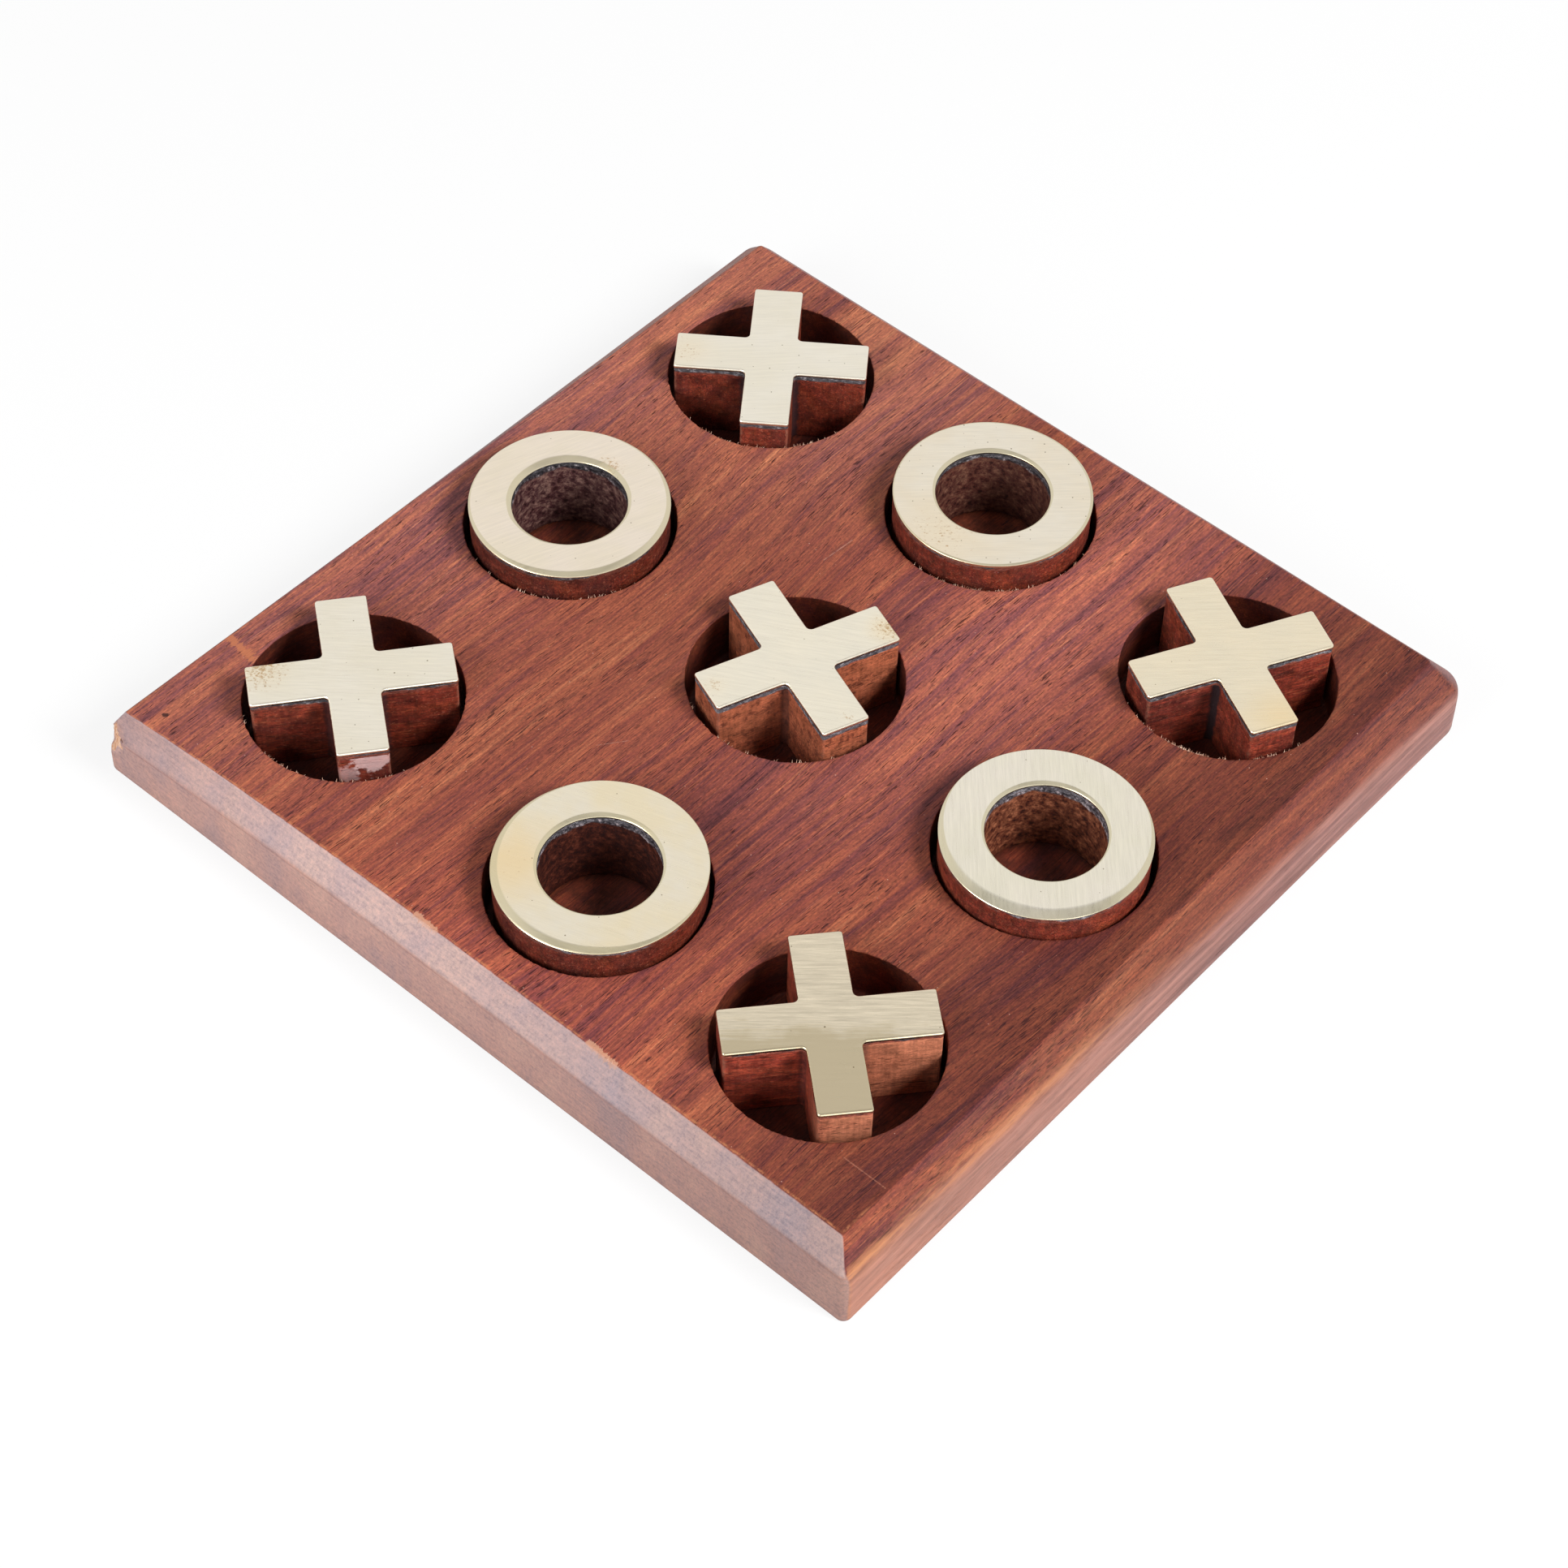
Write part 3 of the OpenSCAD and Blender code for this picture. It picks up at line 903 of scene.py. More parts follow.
def cornerMarks(g, p, base, lay, look):
    # Worn corners of a cross, and a dark line down each of its inner corners
    plan = g.vectors("ABSOLUTE", g.level(p))
    arm = lay["width"] / 2
    tip = lay["span"] / 2
    worn = g.maths("MINIMUM", g.vectors("DISTANCE", plan, (tip, arm, 0)),
                   g.vectors("DISTANCE", plan, (arm, tip, 0)))
    worn = g.times(g.noise(p, 0.9, 3.0, 0.7), 1.2, worn)
    base = g.mix(g.remap(worn, 1.15, 0.65, 0.0, 0.6), base, (0.42, 0.17, 0.11))
    ragged = g.times(g.noise(p, 1.1, 3.0, 0.7), -1.2, g.vectors("DISTANCE", plan, (arm, arm, 0)))
    line = g.remap(ragged, pieceSizes["cornerLine"], 0.0, 0.0, look["cornerDark"])
    return g.mix(line, base, (0.030, 0.016, 0.018))


def boreMarks(g, p, height, base, lay, look):
    # Mottled wall of a ring's bore, with a collar of adhesive hanging down from the brass
    middle = (lay["outer"] + lay["bore"]) / 2
    inside = g.remap(g.vectors("LENGTH", g.level(p)), middle, middle - 0.5)
    mottle = g.noise(p, (0.75, 0.75, 0.95), 6.0, 0.78)
    pale = look["borePale"]
    wall = g.ramp(mottle, [(0.40, (0.014, 0.007, 0.007)), (0.47, look["boreTone"]),
                           (0.55, scaled(pale, 0.45)), (0.66, pale)])
    base = g.mix(g.times(inside, 0.9), base, wall)
    drop = g.remap(g.noise(p, 0.13), 0.36, 0.60, 0.3 * look["collar"], look["collar"])
    hang = g.plus(g.times(mottle, drop), height)
    collar = g.remap(hang, lay["bondFoot"] - 0.2, lay["bondFoot"] + 0.1)
    grey = glueRamp(g, g.noise(p, 1.3, 4.0, 0.7), look["glueTone"], [
        (0.40, (0.012, 0.011, 0.013)), (0.52, (0.050, 0.044, 0.050)), (0.61, (0.20, 0.17, 0.18))],
        (0.68, (0.62, 0.52, 0.54)))
    return g.mix(g.times(inside, collar), base, grey)


def gluedWood(g, p, height, base, lay, look):
    # Milky smears of adhesive below the brass, and lumps of it where the photograph has them
    below = g.remap(height, lay["bondFoot"] - pieceSizes["smearDrop"], lay["bondFoot"], 0.0, 0.10)
    smear = g.plus(g.noise(p, (0.5, 0.5, 1.3), 4.0, 0.7), below)
    milky = g.remap(smear, look["glueFrom"], look["glueFrom"] + 0.10, 0.0, 0.7)
    base = g.mix(milky, base, (0.50, 0.31, 0.31))
    for spot, size, strength in look["blobs"]:
        lump = g.times(g.noise(p, 0.55, 3.0, 0.6), -9.0, g.vectors("DISTANCE", p, spot))
        base = g.mix(g.remap(lump, size - 2.7, size - 3.6, 0.0, strength), base, (0.60, 0.42, 0.41))
    return base


def pieceWood(name, lay, look):
    material, g = newMaterial(name)
    p = millimetres(g, lay["centre"], lay.get("turn", pieceSizes["ringTurn"]))
    base, pores, relief = woodGrain(g, p, pieceTones, look["seed"], 0.6)
    # Blotches of stain, lighter flecks where the saw tore, and a fine grit in the varnish
    blotch = g.noise(p, (0.45, 0.45, 0.75), 5.0, 0.72)
    base = g.shade(base, g.remap(blotch, 0.32, 0.68, 0.45 * look["light"], 1.60 * look["light"]))
    # Painted light: the wood is lightened towards one way, on the front cross over the end and side faces
    # the key lamp lights, on the centre cross towards the top, which leaves painted shade lower down
    if "paleWay" in look:
        lean = g.vectors("DOT_PRODUCT", p, look["paleWay"])
        rubbed = g.times(blotch, 0.5, g.times(relief, 0.5))
        paintedLitWood = g.shade(look["paleTone"], g.remap(rubbed, 0.35, 0.65, 0.45, 1.5))
        base = g.mix(g.remap(lean, *look["paleFrom"], 0.0, 0.8), base, paintedLitWood)
    stain = g.noise(p, (0.13, 0.2), 3.0, 0.6)
    base = g.mix(g.remap(stain, 0.46, 0.72, 0.0, look["stain"]), base, (0.030, 0.009, 0.011))
    flecks = g.noise(p, (1.6, 1.6, 2.2), 4.0, 0.75)
    base = g.mix(g.remap(flecks, 0.57, 0.74, 0.0, 0.65), base, (0.50, 0.17, 0.10))
    base = g.mix(g.times(pores, 0.7), base, pieceTones["pore"])
    dimples = g.noise(p, 0.9, 5.0, 0.72)
    base = g.mix(g.remap(dimples, 0.50, 0.38, 0.0, look["dimples"]), base, (0.10, 0.026, 0.016))
    sawn = g.noise(p, (1.9, 1.9, 0.14), 3.0, 0.6)
    base = g.shade(base, g.remap(sawn, 0.35, 0.65, 0.86, 1.14))
    height = g.axes(p)[2]
    base = gluedWood(g, p, height, base, lay, look)
    if "bore" in lay:
        base = boreMarks(g, p, height, base, lay, look)
    else:
        base = cornerMarks(g, p, base, lay, look)
    rough = g.remap(blotch, 0.3, 0.7, 0.34, 0.54)
    surface(g, base, rough, g.less(g.plus(flecks, dimples), pores), 0.00006, specular=0.34)
    return material


def adhesive(name, lay, look):
    # The squeezed-out band ends below in a ragged edge; the stained wood shows under it
    material, g = newMaterial(name)
    p = millimetres(g)
    moved = g.vectors("ADD", p, (look["seed"], 0, look["seed"]))
    crumbs = g.noise(g.stretch(moved, 1.0, 1.0, 1.6), 1.2, 5.0, 0.68)
    grey = glueRamp(g, crumbs, look["glueTone"], [
        (0.34, (0.018, 0.016, 0.019)), (0.52, (0.052, 0.048, 0.054)), (0.60, (0.115, 0.108, 0.120))],
        (0.68, (0.40, 0.37, 0.38)))
    wood = g.ramp(crumbs, [(0.35, scaled((0.09, 0.02, 0.015), look["light"])),
                           (0.65, scaled((0.34, 0.09, 0.055), look["light"]))])
    wave = g.noise(moved, (0.22, 0.22, 0.05), 3.0, 0.55)
    edge = g.times(wave, 2.4, g.axes(p)[2])
    if "bore" in lay:
        # Inside a ring nobody wiped the bond away
        reach = g.vectors("LENGTH", g.level(g.vectors("SUBTRACT", p, (*lay["centre"], 0))))
        edge = g.plus(edge, g.remap(reach, lay["bore"] + 1.0, lay["bore"] + 0.8, 0.0, 0.9))
    shown = lay["plateFoot"] - look["bondShow"]
    base = g.mix(g.remap(edge, shown + 1.2, shown + 1.35), wood, grey)
    surface(g, base, g.remap(crumbs, 0.3, 0.7, 0.34, 0.7), crumbs, 0.0003)
    return material


brassSizes = {
    "haze": (0.88, 0.65, 0.33),
    "stain": (0.48, 0.27, 0.09),
    "pit": (0.16, 0.11, 0.05),
    "bevel": (0.60, 0.53, 0.34),
    "edge": (0.75, 0.66, 0.46),
    "hair": 0.0000035,      # metres, depth of the brush lines
}


def brass(name, lay, look):
    material, g = newMaterial(name)
    sizes = brassSizes
    p = millimetres(g, lay["centre"], math.radians(look["brush"]))
    moved = g.vectors("ADD", p, (look["seed"] * 9.1, look["seed"] * 4.3, 0))
    lines = g.noise(moved, (0.22, 7.0), 3.0, 0.75)
    coarse = g.noise(moved, (0.12, 2.0), 2.0, 0.55)
    cloud = g.noise(moved, 0.13, 3.0, 0.55)
    base = g.mix(g.remap(cloud, 0.35, 0.65), look["tone"], look["second"])
    streak = g.times(coarse, 0.45, g.times(lines, 0.55))
    base = g.shade(base, g.remap(streak, 0.36, 0.64, 1.0 - look["lines"], 1.0 + 0.4 * look["lines"]))
    straight = millimetres(g, lay["centre"])
    if "dullWay" in look:
        # Painted reflection: the half nearer the front is darker and more olive, as where the plate mirrors
        # the darker sky overhead, with a ragged edge along the brush lines
        lean = g.vectors("DOT_PRODUCT", straight, look["dullWay"])
        lean = g.times(coarse, 9.0, g.times(cloud, 12.0, lean))
        base = g.mix(g.remap(lean, *look["dullFrom"], smooth=True), base, look["dull"])
    # Tan tarnish gathers in flecks and hazes at a few places on the plate
    spots = g.noise(moved, (1.5, 2.1), 5.0, 0.75)
    tarnish = 0.0
    for x, y, reach, start, haze in look["stains"]:
        near = g.remap(g.vectors("DISTANCE", g.level(straight), (x, y, 0)), reach, 0.0, smooth=True)
        fleck = g.remap(g.times(near, 0.16, spots), start + 0.05, start + 0.15)
        fleck = g.times(fleck, g.remap(near, 0.0, 0.3, 0.0, 0.7))
        tarnish = g.maths("MAXIMUM", tarnish, fleck)
        base = g.mix(g.times(near, haze), base, sizes["haze"])
    base = g.mix(tarnish, base, sizes["stain"])
    # Pits, most of them hair-fine
    scale = look["pits"]
    distance, chosen = g.dots(moved, scale, voronoi_dimensions="2D")
    size = g.remap(g.maths("POWER", chosen, 4.0), 0.0, 1.0, 0.0, look["pitSize"] * scale)
    pit = g.remap(g.less(distance, size), -0.05 * scale, 0.0, 1.0, 0.0)
    base = g.mix(g.times(pit, 0.8), base, sizes["pit"])
    # Ring bevels are darker and more olive than the face: partly wear, partly painted reflection of the
    # darker sky overhead. Upright edges are a little darker and yellower
    upright = facing(g)[2]
    if "bore" in lay:
        base = g.mix(g.remap(upright, 0.988, 0.955, 0.0, 0.7), base, sizes["bevel"])
    base = g.mix(g.remap(upright, 0.75, 0.2, 0.0, 0.3), base, sizes["edge"])
    rough = g.remap(coarse, 0.3, 0.7, look["rough"], look["rough"] + 0.08)
    rough = g.times(tarnish, 0.3, rough)
    height = g.times(pit, -2.5, g.times(coarse, 0.8, lines))
    surface(g, base, rough, height, sizes["hair"], metallic=1.0)
    return material


boardMaterials = [boardWood(), recessWood(), rawWood()]
fibreMaterial = tornFibre()
for material in boardMaterials:
    board.data.materials.append(material)
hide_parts("board")
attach(board, "board")
print("board materials made")


# What all nine playing pieces share unless their own look says otherwise
plainLook = {
    "light": 1.0,           # level of the wood's tone
    "stain": 0.6,           # strength of dark stains and of dimples in the varnish
    "dimples": 0.5,
    "glueFrom": 0.76,       # the lower, the more milky smears
    "glueTone": 1.0,
    "blobs": [],            # lumps of adhesive: place, size, strength
    "lines": 0.10,          # contrast of the brush lines
    "rough": 0.26,
    "stains": [],           # tarnish: x, y, reach, start, haze
}
layerMaterials = {"body": ("Wood", pieceWood), "bond": ("Glue", adhesive), "plate": ("Brass", brass)}


def turnOutwards(mesh):
    work = bmesh.new()
    work.from_mesh(mesh)
    bmesh.ops.remove_doubles(work, verts=work.verts, dist=1e-7)
    bmesh.ops.recalc_face_normals(work, faces=work.faces)
    work.to_mesh(mesh)
    work.free()


def partName(body, layer):
    words = body.split("_") + [layer]
    return words[0] + "".join(word.capitalize() for word in words[1:])


def makeLayers(body, look, crispAngles, layers, build):
    # layers: name of the layer, then what build takes; build returns the mesh of one layer
    look = {**plainLook, **look}
    materials = {layer: make(partName(body, word), lays[body], look)
                 for layer, (word, make) in layerMaterials.items()}
    for layer, *given in layers:
        mesh = build(layer, materials[layer], *given)
        turnOutwards(mesh)
        mesh.set_sharp_from_angle(angle=math.radians(crispAngles[layer]))
        for polygon in mesh.polygons:
            # The caps of the crosses have hundreds of corners and stay flat
            polygon.use_smooth = len(polygon.vertices) <= 8
        mesh.name = partName(body, layer)
        obj = newObject(mesh.name, mesh)
        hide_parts(body + "_" + layer)
        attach(obj, body)


# Crosses: outline in the piece's own axes, then body, bond and plate from one tree
crossSizes = {
    "innerRound": 0.8,
    "step": 0.45,           # spacing of outline points
    "bondRise": 0.1,
    "bondSink": 0.30,       # how far the squeezed-out bond runs down the wood
    "setBacks": {"body": 0.1, "bond": 0.07, "plate": 0.0},
    "crispAngles": {"body": 38, "bond": 38, "plate": 38},      # a steeper turn is a crisp edge
    "body": {"Rows": 14, "Foot Round": 0.25 * mm, "Top Round": 0.1 * mm, "Wobble": 0.07 * mm,
             "Wobble Scale": 180.0},
    "bond": {"Rows": 12, "Foot Round": 0.12 * mm, "Top Round": 0.05 * mm, "Wobble": 0.07 * mm,
             "Wobble Scale": 700.0},
    "plate": {"Rows": 11, "Foot Round": 0.08 * mm, "Top Round": 0.34 * mm, "Wobble": 0.018 * mm,
              "Wobble Scale": 220.0, "Wear": 0.02 * mm},
}


def outlineMesh(corners, step):
    # corners: point, radius, steps; 90 degree corners only
    path = []
    for k, (corner, radius, steps) in enumerate(corners):
        into = (corner - corners[k - 1][0]).normalized()
        away = (corners[(k + 1) % len(corners)][0] - corner).normalized()
        middle = corner - into * radius + away * radius
        for s in range(steps + 1):
            a = math.radians(90 * s / steps)
            path.append(middle + (into * math.sin(a) - away * math.cos(a)) * radius)
    dense = []
    for k, p in enumerate(path):
        n = path[(k + 1) % len(path)]
        parts = max(1, round((n - p).length / step))
        dense += [p.lerp(n, s / parts) for s in range(parts)]
    mesh = bpy.data.meshes.new("outline")
    links = [(k, (k + 1) % len(dense)) for k in range(len(dense))]
    mesh.from_pydata([(p.x * mm, p.y * mm, 0) for p in dense], links, [])
    inward = []
    for k in range(len(dense)):
        along = (dense[(k + 1) % len(dense)] - dense[k - 1]).normalized()
        inward.append((-along.y, along.x, 0))
    storeValues(mesh, "inward", "FLOAT_VECTOR", inward)
    return mesh


def crossOutline(lay, sizes, setBack, endRounds):
    # endRounds: the two upright corners at the end of each arm
    a = lay["span"] / 2 - setBack
    b = lay["width"] / 2 - setBack
    corners = []
    for k in range(4):
        turn = Matrix.Rotation(math.radians(90 * k), 2)
        corners.append((turn @ Vector((a, -b)), endRounds[0], 4))
        corners.append((turn @ Vector((a, b)), endRounds[1], 4))
        corners.append((turn @ Vector((b, b)), sizes["innerRound"], 5))
    return outlineMesh(corners, sizes["step"])


crossLooks = {
    "cross_front": {
        "seed": 1.0, "light": 1.15, "stain": 0.3, "dimples": 0.35, "cornerDark": 0.5, "ends": (0.5, 0.4),
        "paleWay": (1.0, -0.4, 0.0), "paleFrom": (-1.0, 5.0), "paleTone": (0.52, 0.197, 0.108),
        "bodyRise": 0.55, "bondShow": 0.10, "glueFrom": 0.80,
        "tone": (0.74, 0.645, 0.485), "second": (0.79, 0.690, 0.520), "brush": -48, "lines": 0.28,
        "dullWay": (-0.78, -0.62, 0.0), "dullFrom": (10.5, 15.0), "dull": (0.54, 0.455, 0.305),
        "rough": 0.20, "pits": 0.24, "pitSize": 0.17},
    "cross_right": {
        "seed": 2.0, "dimples": 0.6, "cornerDark": 1.0, "ends": (0.6, 0.5),
        "bodyRise": 0.15, "bondShow": 0.72, "glueTone": 1.6,
        "tone": (0.86, 0.755, 0.565), "second": (0.83, 0.740, 0.565), "brush": -47, "rough": 0.24,
        "stains": [(-5, -13.8, 9, 0.80, 0.5)], "pits": 0.34, "pitSize": 0.10},
    "cross_centre": {
        "seed": 3.0, "light": 1.30, "stain": 0.25, "dimples": 0.8, "cornerDark": 0.6, "ends": (0.45, 0.5),
        "paleWay": (0.0, 0.0, 1.0), "paleFrom": (-8.0, 12.0), "paleTone": (0.40, 0.125, 0.060),
        "bodyRise": 0.10, "bondShow": 0.95, "glueTone": 2.2, "glueFrom": 0.74,
        "tone": (0.86, 0.800, 0.665), "second": (0.89, 0.820, 0.670), "brush": -60,
        "stains": [(13.6, -6.5, 4.5, 0.58, 0.35), (-13.1, 5.5, 3.0, 0.62, 0.1), (-4.2, -14, 2.5, 0.64, 0.0)],
        "pits": 0.36, "pitSize": 0.13},
    "cross_left": {
        "seed": 4.0, "light": 0.70, "cornerDark": 0.7, "ends": (0.4, 0.5),
        "bodyRise": 0.20, "bondShow": 0.35, "glueTone": 1.2, "glueFrom": 0.72,
        "blobs": [((1.3, -15.8, 18.1), 2.1, 0.66), ((-3.2, -15.8, 14.4), 0.7, 0.40)],
        "tone": (0.86, 0.800, 0.675), "second": (0.84, 0.775, 0.635), "brush": -50,
        "stains": [(-8.7, 10.9, 6.5, 0.56, 0.2)], "pits": 0.42, "pitSize": 0.15},
    "cross_back": {
        "seed": 5.0, "light": 0.72, "cornerDark": 0.9, "ends": (0.4, 0.4),
        "bodyRise": 0.15, "bondShow": 0.85, "glueTone": 1.5, "glueFrom": 0.78,
        "tone": (0.86, 0.805, 0.690), "second": (0.84, 0.780, 0.650), "brush": -45, "lines": 0.07,
        "rough": 0.28, "stains": [(-8.7, 10.9, 7, 0.66, 0.2)], "pits": 0.40, "pitSize": 0.14},
}


def makeCross(body, sizes, look):
    lay = lays[body]
    rise = lay["bondFoot"] + look["bodyRise"]
    layers = [("body", lay["foot"], rise),
              ("bond", rise - sizes["bondSink"], lay["plateFoot"] + sizes["bondRise"]),
              ("plate", lay["plateFoot"], lay["top"])]

    def build(layer, material, foot, top):
        values = {"Foot": foot * mm, "Top": top * mm, "Seed": look["seed"] * 3.7, "Material": material,
                  "Turn": (0, 0, lay["turn"]), "Centre": (*(lay["centre"] * mm), 0), **sizes[layer]}
        return runTree(crossOutline(lay, sizes, sizes["setBacks"][layer], look["ends"]), crossTree, values)

    makeLayers(body, look, sizes["crispAngles"], layers, build)


# Rings: a section swept round, with worn bevels on both edges of the brass
ringSizes = {
    "segments": 200,
    "setBacks": {"body": 0.12, "bond": 0.096},
    "crispAngles": {"body": 38, "bond": 38, "plate": 30},
    "bondSink": 0.5,
    "bondRise": 0.1,
    "footRound": 0.5,
    "bondRound": 0.1,
    "bodyRows": 9,
    "bondRows": 7,
    "bevelSteps": 5,
    "body": {"Wobble": 0.06 * mm, "Wobble Scale": 200.0},
    "bond": {"Wobble": 0.16 * mm, "Wobble Scale": 600.0},
    "plate": {"Wear Spread": 0.25, "Wear Drop": 0.42, "Deepest": 0.42 * mm, "Wobble Scale": 1.0},
}


def sectionMesh(section, pathRadius):
    # section: radius, height, wear out, wear down, side, free to wobble
    mesh = bpy.data.meshes.new("section")
    links = [(k, (k + 1) % len(section)) for k in range(len(section))]
    mesh.from_pydata([((s[0] - pathRadius) * mm, -s[1] * mm, 0) for s in section], links, [])
    storeValues(mesh, "wear", "FLOAT_VECTOR", [(s[2], 0, s[3]) for s in section])
    storeValues(mesh, "side", "FLOAT", [s[4] for s in section])
    storeValues(mesh, "free", "FLOAT", [s[5] for s in section])
    return mesh


def wallSection(inner, outer, foot, top, footRound, rows):
    arc = [(math.sin(math.radians(30 * k)), math.cos(math.radians(30 * k))) for k in range(4)]
    made = [(outer - footRound * (1 - s), foot + footRound * (1 - c), 0, 0, 1, 1) for s, c in arc]
    rises = [foot + footRound + (top - foot - footRound) * k / rows for k in range(rows + 1)]
    made += [(outer, height, 0, 0, 1, 1) for height in rises[1:]]
    made += [(inner, height, 0, 0, -1, 1) for height in reversed(rises)]
    made += [(inner + footRound * (1 - c), foot + footRound * (1 - s), 0, 0, -1, 1) for s, c in arc[1:]]
    return made


def plateSection(inner, outer, foot, top, steps):
    # One loop inside each bevel keeps the face between them flat in its shading
    made = []
    for edge, way in ((outer, 1), (inner, -1)):
        rows = [(edge - 0.05 * way, foot, 0, 0), (edge, foot + 0.05, 0, 0), (edge, top - 0.07, 0, -1)]
        for k in range(steps + 1):
            t = 1 - k / steps
            rows.append((edge - 0.06 * way, top, (t - 1) * way, -t ** 1.1))
        rows.append((edge - 0.06 * way, top, -1.06 * way, 0))
        made += [(*row, way, 0) for row in rows[::way]]
    return made


ringLooks = {
    "ring_back_left": {
        "seed": 6.0, "light": 0.44, "stain": 0.7, "dimples": 0.6, "bondShow": 0.40, "glueTone": 0.9,
        "borePale": (0.32, 0.180, 0.150), "boreTone": (0.060, 0.022, 0.026), "collar": 3.4,
        "tone": (0.87, 0.765, 0.640), "second": (0.85, 0.750, 0.600), "brush": -20, "lines": 0.08,
        "rough": 0.28, "stains": [(9.6, 0.6, 4, 0.58, 0.1)], "pits": 0.36, "pitSize": 0.13,
        "outerWear": 0.5, "outerTowards": (-0.3, -0.9, 0), "innerWear": 0.7, "innerTowards": (0.3, 0.5, 0)},
    "ring_back_right": {
        "seed": 7.0, "light": 0.70, "dimples": 0.6, "bondShow": 0.25, "glueTone": 1.3,
        "borePale": (0.26, 0.120, 0.080), "boreTone": (0.075, 0.024, 0.020), "collar": 2.2,
        "tone": (0.84, 0.770, 0.645), "second": (0.83, 0.740, 0.590), "brush": -47, "lines": 0.08,
        "rough": 0.28, "stains": [(-12.7, 0.4, 13, 0.66, 0.25)], "pits": 0.55, "pitSize": 0.15,
        "outerWear": 0.3, "outerTowards": (0.3, -0.3, 0), "innerWear": 0.4, "innerTowards": (0.4, 0.5, 0)},
    "ring_front_left": {
        "seed": 8.0, "light": 0.50, "stain": 0.5, "bondShow": 0.20, "glueTone": 2.0,
        "borePale": (0.15, 0.042, 0.026), "boreTone": (0.028, 0.009, 0.008), "collar": 3.0,
        "tone": (0.84, 0.765, 0.620), "second": (0.85, 0.740, 0.530), "brush": -70, "lines": 0.07,
        "stains": [(-7.8, 9.8, 11, 0.72, 0.6)], "pits": 0.30, "pitSize": 0.14,
        "outerWear": 0.5, "outerTowards": (-1.5, 0.3, 0), "innerWear": 0.42, "innerTowards": (0.4, 0.5, 0)},
    "ring_front_right": {
        "seed": 9.0, "light": 0.80, "stain": 0.4, "dimples": 0.6, "bondShow": 0.25, "glueTone": 2.4,
        "glueFrom": 0.78, "borePale": (0.50, 0.180, 0.092), "boreTone": (0.110, 0.031, 0.017), "collar": 3.4,
        "tone": (0.86, 0.795, 0.675), "second": (0.84, 0.785, 0.640), "brush": 42, "lines": 0.12,
        "pits": 0.24, "pitSize": 0.12,
        "outerWear": 0.65, "outerTowards": (-1.48, -0.83, 0), "innerWear": 0.36,
        "innerTowards": (0.5, 0.45, 0)},
}


def makeRing(body, sizes, look):
    lay = lays[body]
    inner, outer = lay["bore"], lay["outer"]
    back, bondBack = sizes["setBacks"]["body"], sizes["setBacks"]["bond"]
    sink, rise = lay["bondFoot"] - sizes["bondSink"], lay["plateFoot"] + sizes["bondRise"]
    layers = [
        ("body", wallSection(inner + back, outer - back, lay["foot"], lay["bondFoot"], sizes["footRound"],
                             sizes["bodyRows"])),
        ("bond", wallSection(inner + bondBack, outer - bondBack, sink, rise, sizes["bondRound"],
                             sizes["bondRows"])),
        ("plate", plateSection(inner, outer, lay["plateFoot"], lay["top"], sizes["bevelSteps"]))]

    def build(layer, material, section):
        values = {"Path Radius": inner * mm, "Segments": sizes["segments"], "Seed": look["seed"] * 2.3,
                  "Centre": (*(lay["centre"] * mm), 0), "Material": material, **sizes[layer]}
        if layer == "plate":
            values.update({"Outer Wear": look["outerWear"] * mm, "Inner Wear": look["innerWear"] * mm,
                           "Outer Towards": look["outerTowards"], "Inner Towards": look["innerTowards"]})
        return runTree(sectionMesh(section, inner), ringTree, values)

    makeLayers(body, look, sizes["crispAngles"], layers, build)


for body, look in crossLooks.items():
    makeCross(body, crossSizes, look)
    print("cross made:", body)
for body, look in ringLooks.items():
    makeRing(body, ringSizes, look)
    print("ring made:", body)


# Torn fibres: short spikes raised along the near rims of the recesses and on two nicks
fibreSizes = {
    "spacing": 0.11,        # mm between the places a fibre may grow
    "arc": 58,              # degrees to each side of the grain's direction
    "length": 0.42,
    "thickness": 0.058,
    "seed": 5,
    "nickPlaces": 40,
    "nickShare": 0.45,
}
# How many fibres each rim keeps, and the middle of its torn stretch in degrees
rimShares = {
    "cross_right": (0.62, 205), "ring_back_left": (0.30, 215), "ring_back_right": (0.42, 225),
    "cross_left": (0.24, 200), "cross_back": (0.32, 215), "cross_centre": (0.16, 200),
}


def fibreTree():
    g, given = newTree("tornFibres", Float=["Length", "Thickness"], Int=["Seed"])
    thickness, seed = given["Thickness"], given["Seed"]
    spike = g.add("GeometryNodeMeshCone", {
        "Vertices": 4, "Radius Top": g.times(thickness, 0.2), "Radius Bottom": thickness,
        "Depth": given["Length"]})[0]

    def between(low, high):
        values = {0: low, 1: high, "Seed": seed}
        return g.add("FunctionNodeRandomValue", values, data_type="FLOAT_VECTOR")[0]

    chance = g.add("FunctionNodeRandomValue", {"Seed": seed}, data_type="FLOAT")[1]
    kept = g.maths("LESS_THAN", chance, stored(g, "share"))
    stray = between((-0.7, -0.7, -0.5), (0.7, 0.7, 0.5))
    way = g.vectors("ADD", stored(g, "way", "FLOAT_VECTOR"), stray)
    turn = g.add("FunctionNodeAlignRotationToVector", {"Vector": way}, axis="Z")[0]
    grown = g.add("GeometryNodeInstanceOnPoints", {
        "Points": given["Geometry"], "Selection": kept, "Instance": spike, "Rotation": turn,
        "Scale": between((0.6, 0.6, 0.35), (1.5, 1.5, 1.3))})[0]
    return finishTree(g, grown, given)


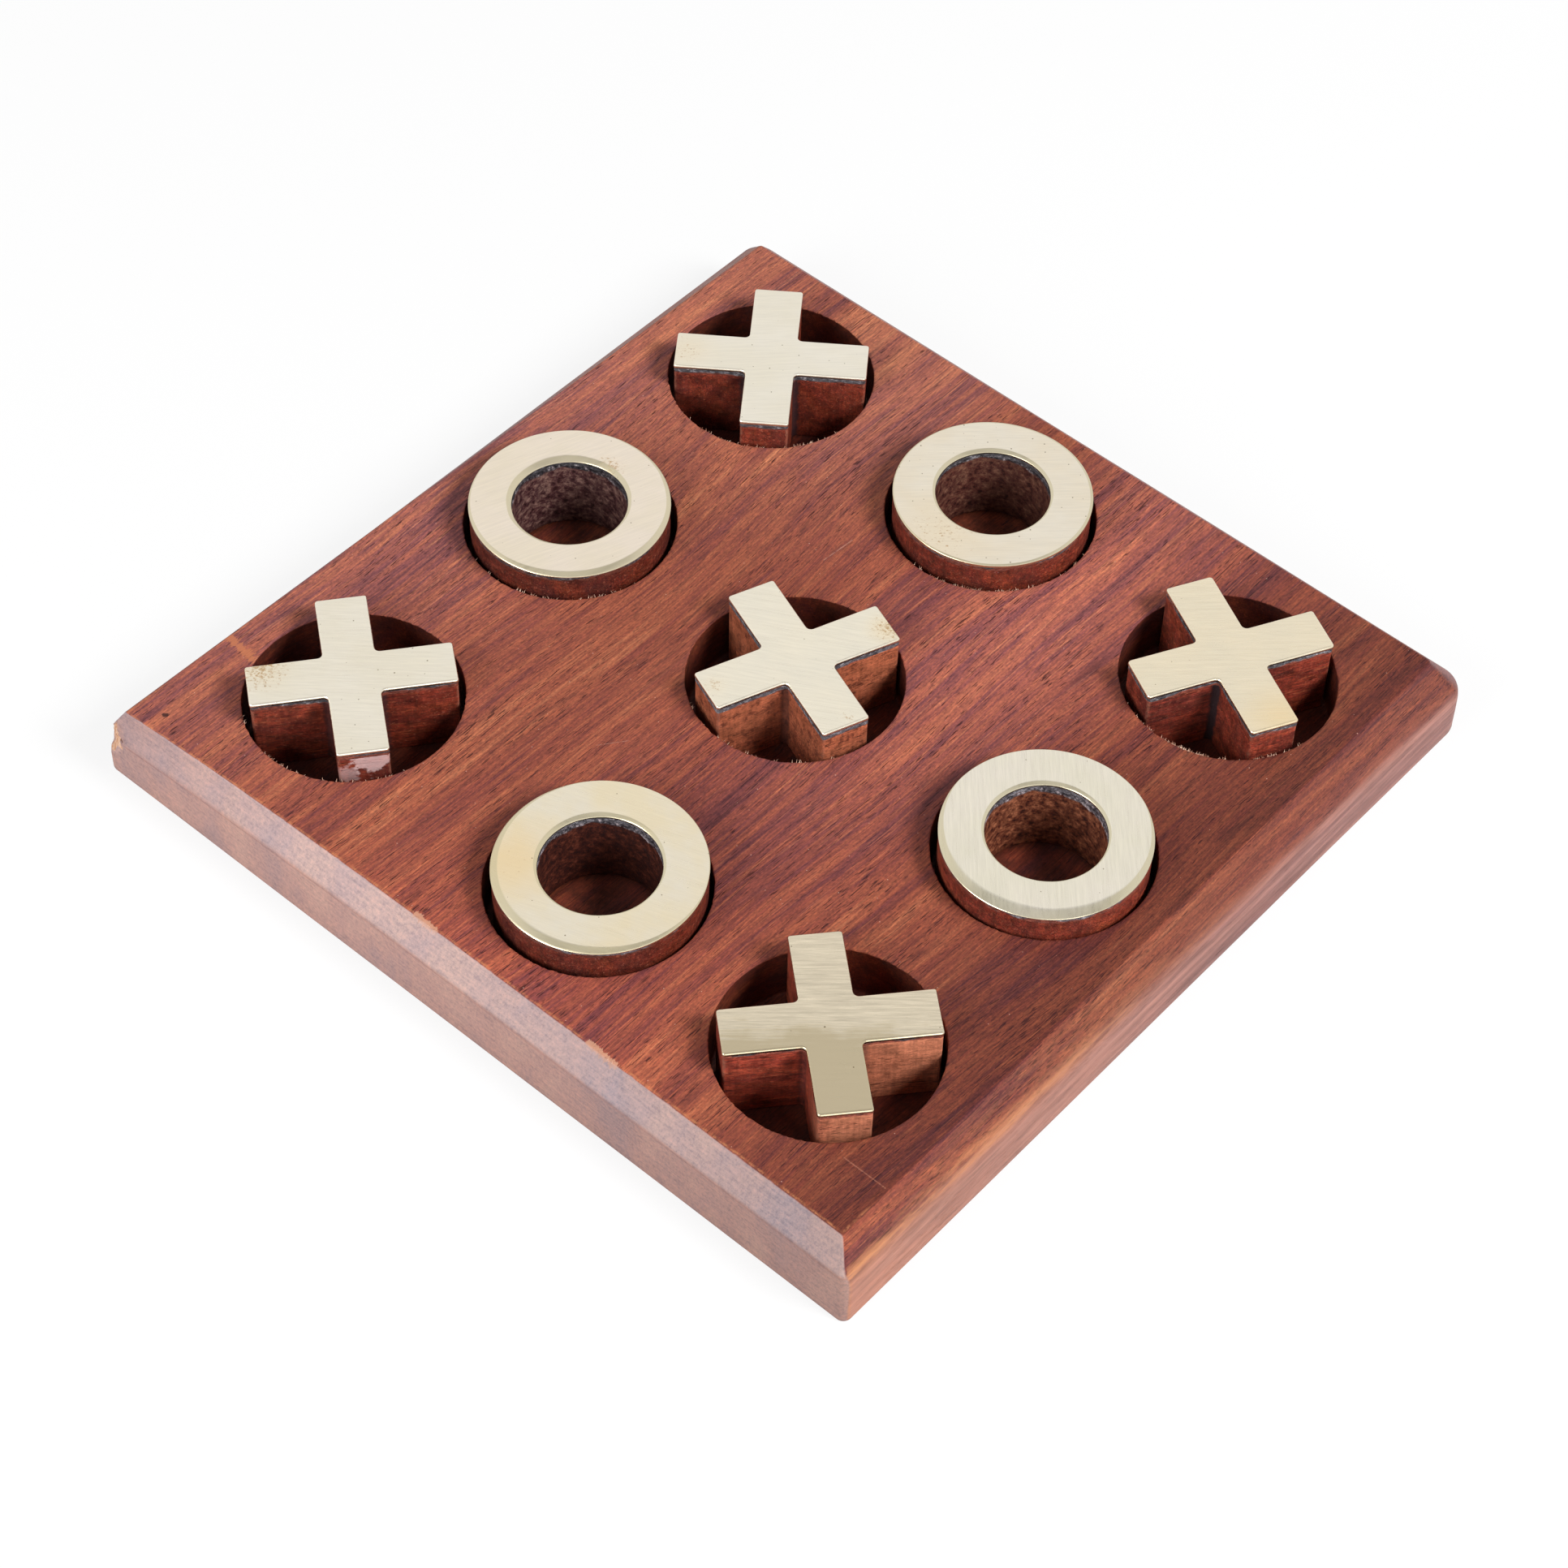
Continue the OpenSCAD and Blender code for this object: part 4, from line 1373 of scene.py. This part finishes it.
def makeFibres(sizes):
    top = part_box("board")[1].z * 1000
    places = []
    for body, (share, middle) in rimShares.items():
        recess, radius = lays[body]["recess"], lays[body]["recessRadius"]
        count = int(2 * math.radians(sizes["arc"]) * radius / sizes["spacing"])
        for k in range(count):
            t = 2 * k / (count - 1) - 1
            a = math.radians(middle + t * sizes["arc"])
            way = Vector((math.cos(a), math.sin(a)))
            patchy = 0.5 + 1.4 * noise.noise(Vector((way.x * 9, way.y * 9, radius + middle)))
            p = recess + way * (radius + 0.02)
            places.append(((p.x, p.y, top - 0.12), (-way.x * 0.8, -way.y * 0.4, 0.5),
                           1.5 * share * max(0, patchy) * (1 - t * t)))
    for (x0, y0), (x1, y1), *_ in nickMarks:
        for k in range(sizes["nickPlaces"]):
            t = k / (sizes["nickPlaces"] - 1)
            places.append(((x0 + (x1 - x0) * t, y0 + (y1 - y0) * t, top - 0.2), (-0.4, 0.1, 0.5),
                           sizes["nickShare"]))
    mesh = bpy.data.meshes.new("places")
    mesh.from_pydata([tuple(c * mm for c in p) for p, _, _ in places], [], [])
    storeValues(mesh, "way", "FLOAT_VECTOR", [way for _, way, _ in places])
    storeValues(mesh, "share", "FLOAT", [share for _, _, share in places])
    made = runTree(mesh, fibreTree(), {"Length": sizes["length"] * mm, "Thickness": sizes["thickness"] * mm,
                                       "Seed": sizes["seed"], "Material": fibreMaterial})
    turnOutwards(made)
    made.name = "rimFibres"
    fibres = newObject("rimFibres", made)
    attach(fibres, "board")
    return fibres


fibres = makeFibres(fibreSizes)
print("fibres made:", len(fibres.data.polygons), "faces")


# Floor, light and background
studio = {
    "floorSize": 6.0,
    "floorAlbedo": 0.86,
    "floorGlow": 0.85,        # share of the floor's white that comes from the plain background
    "skyDiffuse": 0.13,       # how strongly the surround lights the object
    "skyLow": 1.00,           # what gloss sees of the surround, low down and overhead
    "skyHigh": 0.48,
    "skyFrom": 0.875,         # sine of the height at which the bright surround ends
    "skyTo": 0.935,
    "capFrom": 0.955,         # and where a bright cap straight overhead begins
    "capTo": 0.985,
    "skyCap": 0.90,
}
lampList = [
    # name, azimuth, elevation, distance, size, level
    ("keyBox", -76, 42, 1.3, 0.45, 1.20),
    ("leftBox", 168, 30, 0.9, 0.5, 0.72),
    ("lowBox", -118, 14, 1.3, 0.8, 0.28),
]


def seenDirectly(g):
    # 1 for what the camera and gloss see, 0 for the light that falls on the object
    rays = g.add("ShaderNodeLightPath")
    mirrored = g.maths("MAXIMUM", rays["Is Glossy Ray"], rays["Is Transmission Ray"])
    return g.maths("MAXIMUM", rays["Is Camera Ray"], mirrored)


def makeFloor(sizes):
    half = sizes["floorSize"] / 2
    data = bpy.data.meshes.new("floor")
    corners = [(-half, -half, 0), (half, -half, 0), (half, half, 0), (-half, half, 0)]
    data.from_pydata(corners, [], [(0, 1, 2, 3)])
    floor = newObject("floor", data)
    material, g = newMaterial("floorWhite")
    g.tree.nodes.clear()
    share = g.times(seenDirectly(g), sizes["floorGlow"])
    matt = g.add("ShaderNodeBsdfDiffuse", {"Color": (sizes["floorAlbedo"],) * 3})[0]
    glow = g.add("ShaderNodeEmission", {"Color": (1, 1, 1), "Strength": 1.0})[0]
    mixed = g.add("ShaderNodeMixShader", {0: share, 1: matt, 2: glow})[0]
    g.add("ShaderNodeOutputMaterial", {0: mixed})
    data.materials.append(material)


def makeSky(sizes):
    world = bpy.data.worlds.new("surround")
    world.use_nodes = True
    g = Graph(world.node_tree)
    g.tree.nodes.clear()
    height = g.axes(g.add("ShaderNodeTexCoord")["Generated"])[2]
    bright = g.remap(height, sizes["skyFrom"], sizes["skyTo"], sizes["skyLow"], sizes["skyHigh"],
                     smooth=True)
    cap = g.remap(height, sizes["capFrom"], sizes["capTo"], 0.0, sizes["skyCap"], smooth=True)
    share = g.remap(seenDirectly(g), 0.0, 1.0, sizes["skyDiffuse"], 1.0)
    strength = g.times(g.maths("MAXIMUM", bright, cap), share)
    back = g.add("ShaderNodeBackground", {0: (1, 1, 1), 1: strength})[0]
    g.add("ShaderNodeOutputWorld", {0: back})
    bpy.context.scene.world = world


def makeLamps(lamps):
    for name, azimuth, elevation, distance, size, level in lamps:
        a, e = math.radians(azimuth), math.radians(elevation)
        way = Vector((math.cos(a) * math.cos(e), math.sin(a) * math.cos(e), math.sin(e)))
        data = bpy.data.lights.new(name, "AREA")
        data.shape = "SQUARE"
        data.size = size
        data.energy = level * math.pi ** 2 * distance ** 2
        lamp = newObject(name, data)
        lamp.location = way * distance
        lamp.rotation_euler = way.to_track_quat("Z", "Y").to_euler()
        # The key light is far too bright to be mirrored in the worn edges of the brass
        lamp.visible_glossy = name != "keyBox"


makeFloor(studio)
makeSky(studio)
makeLamps(lampList)
print("studio made")
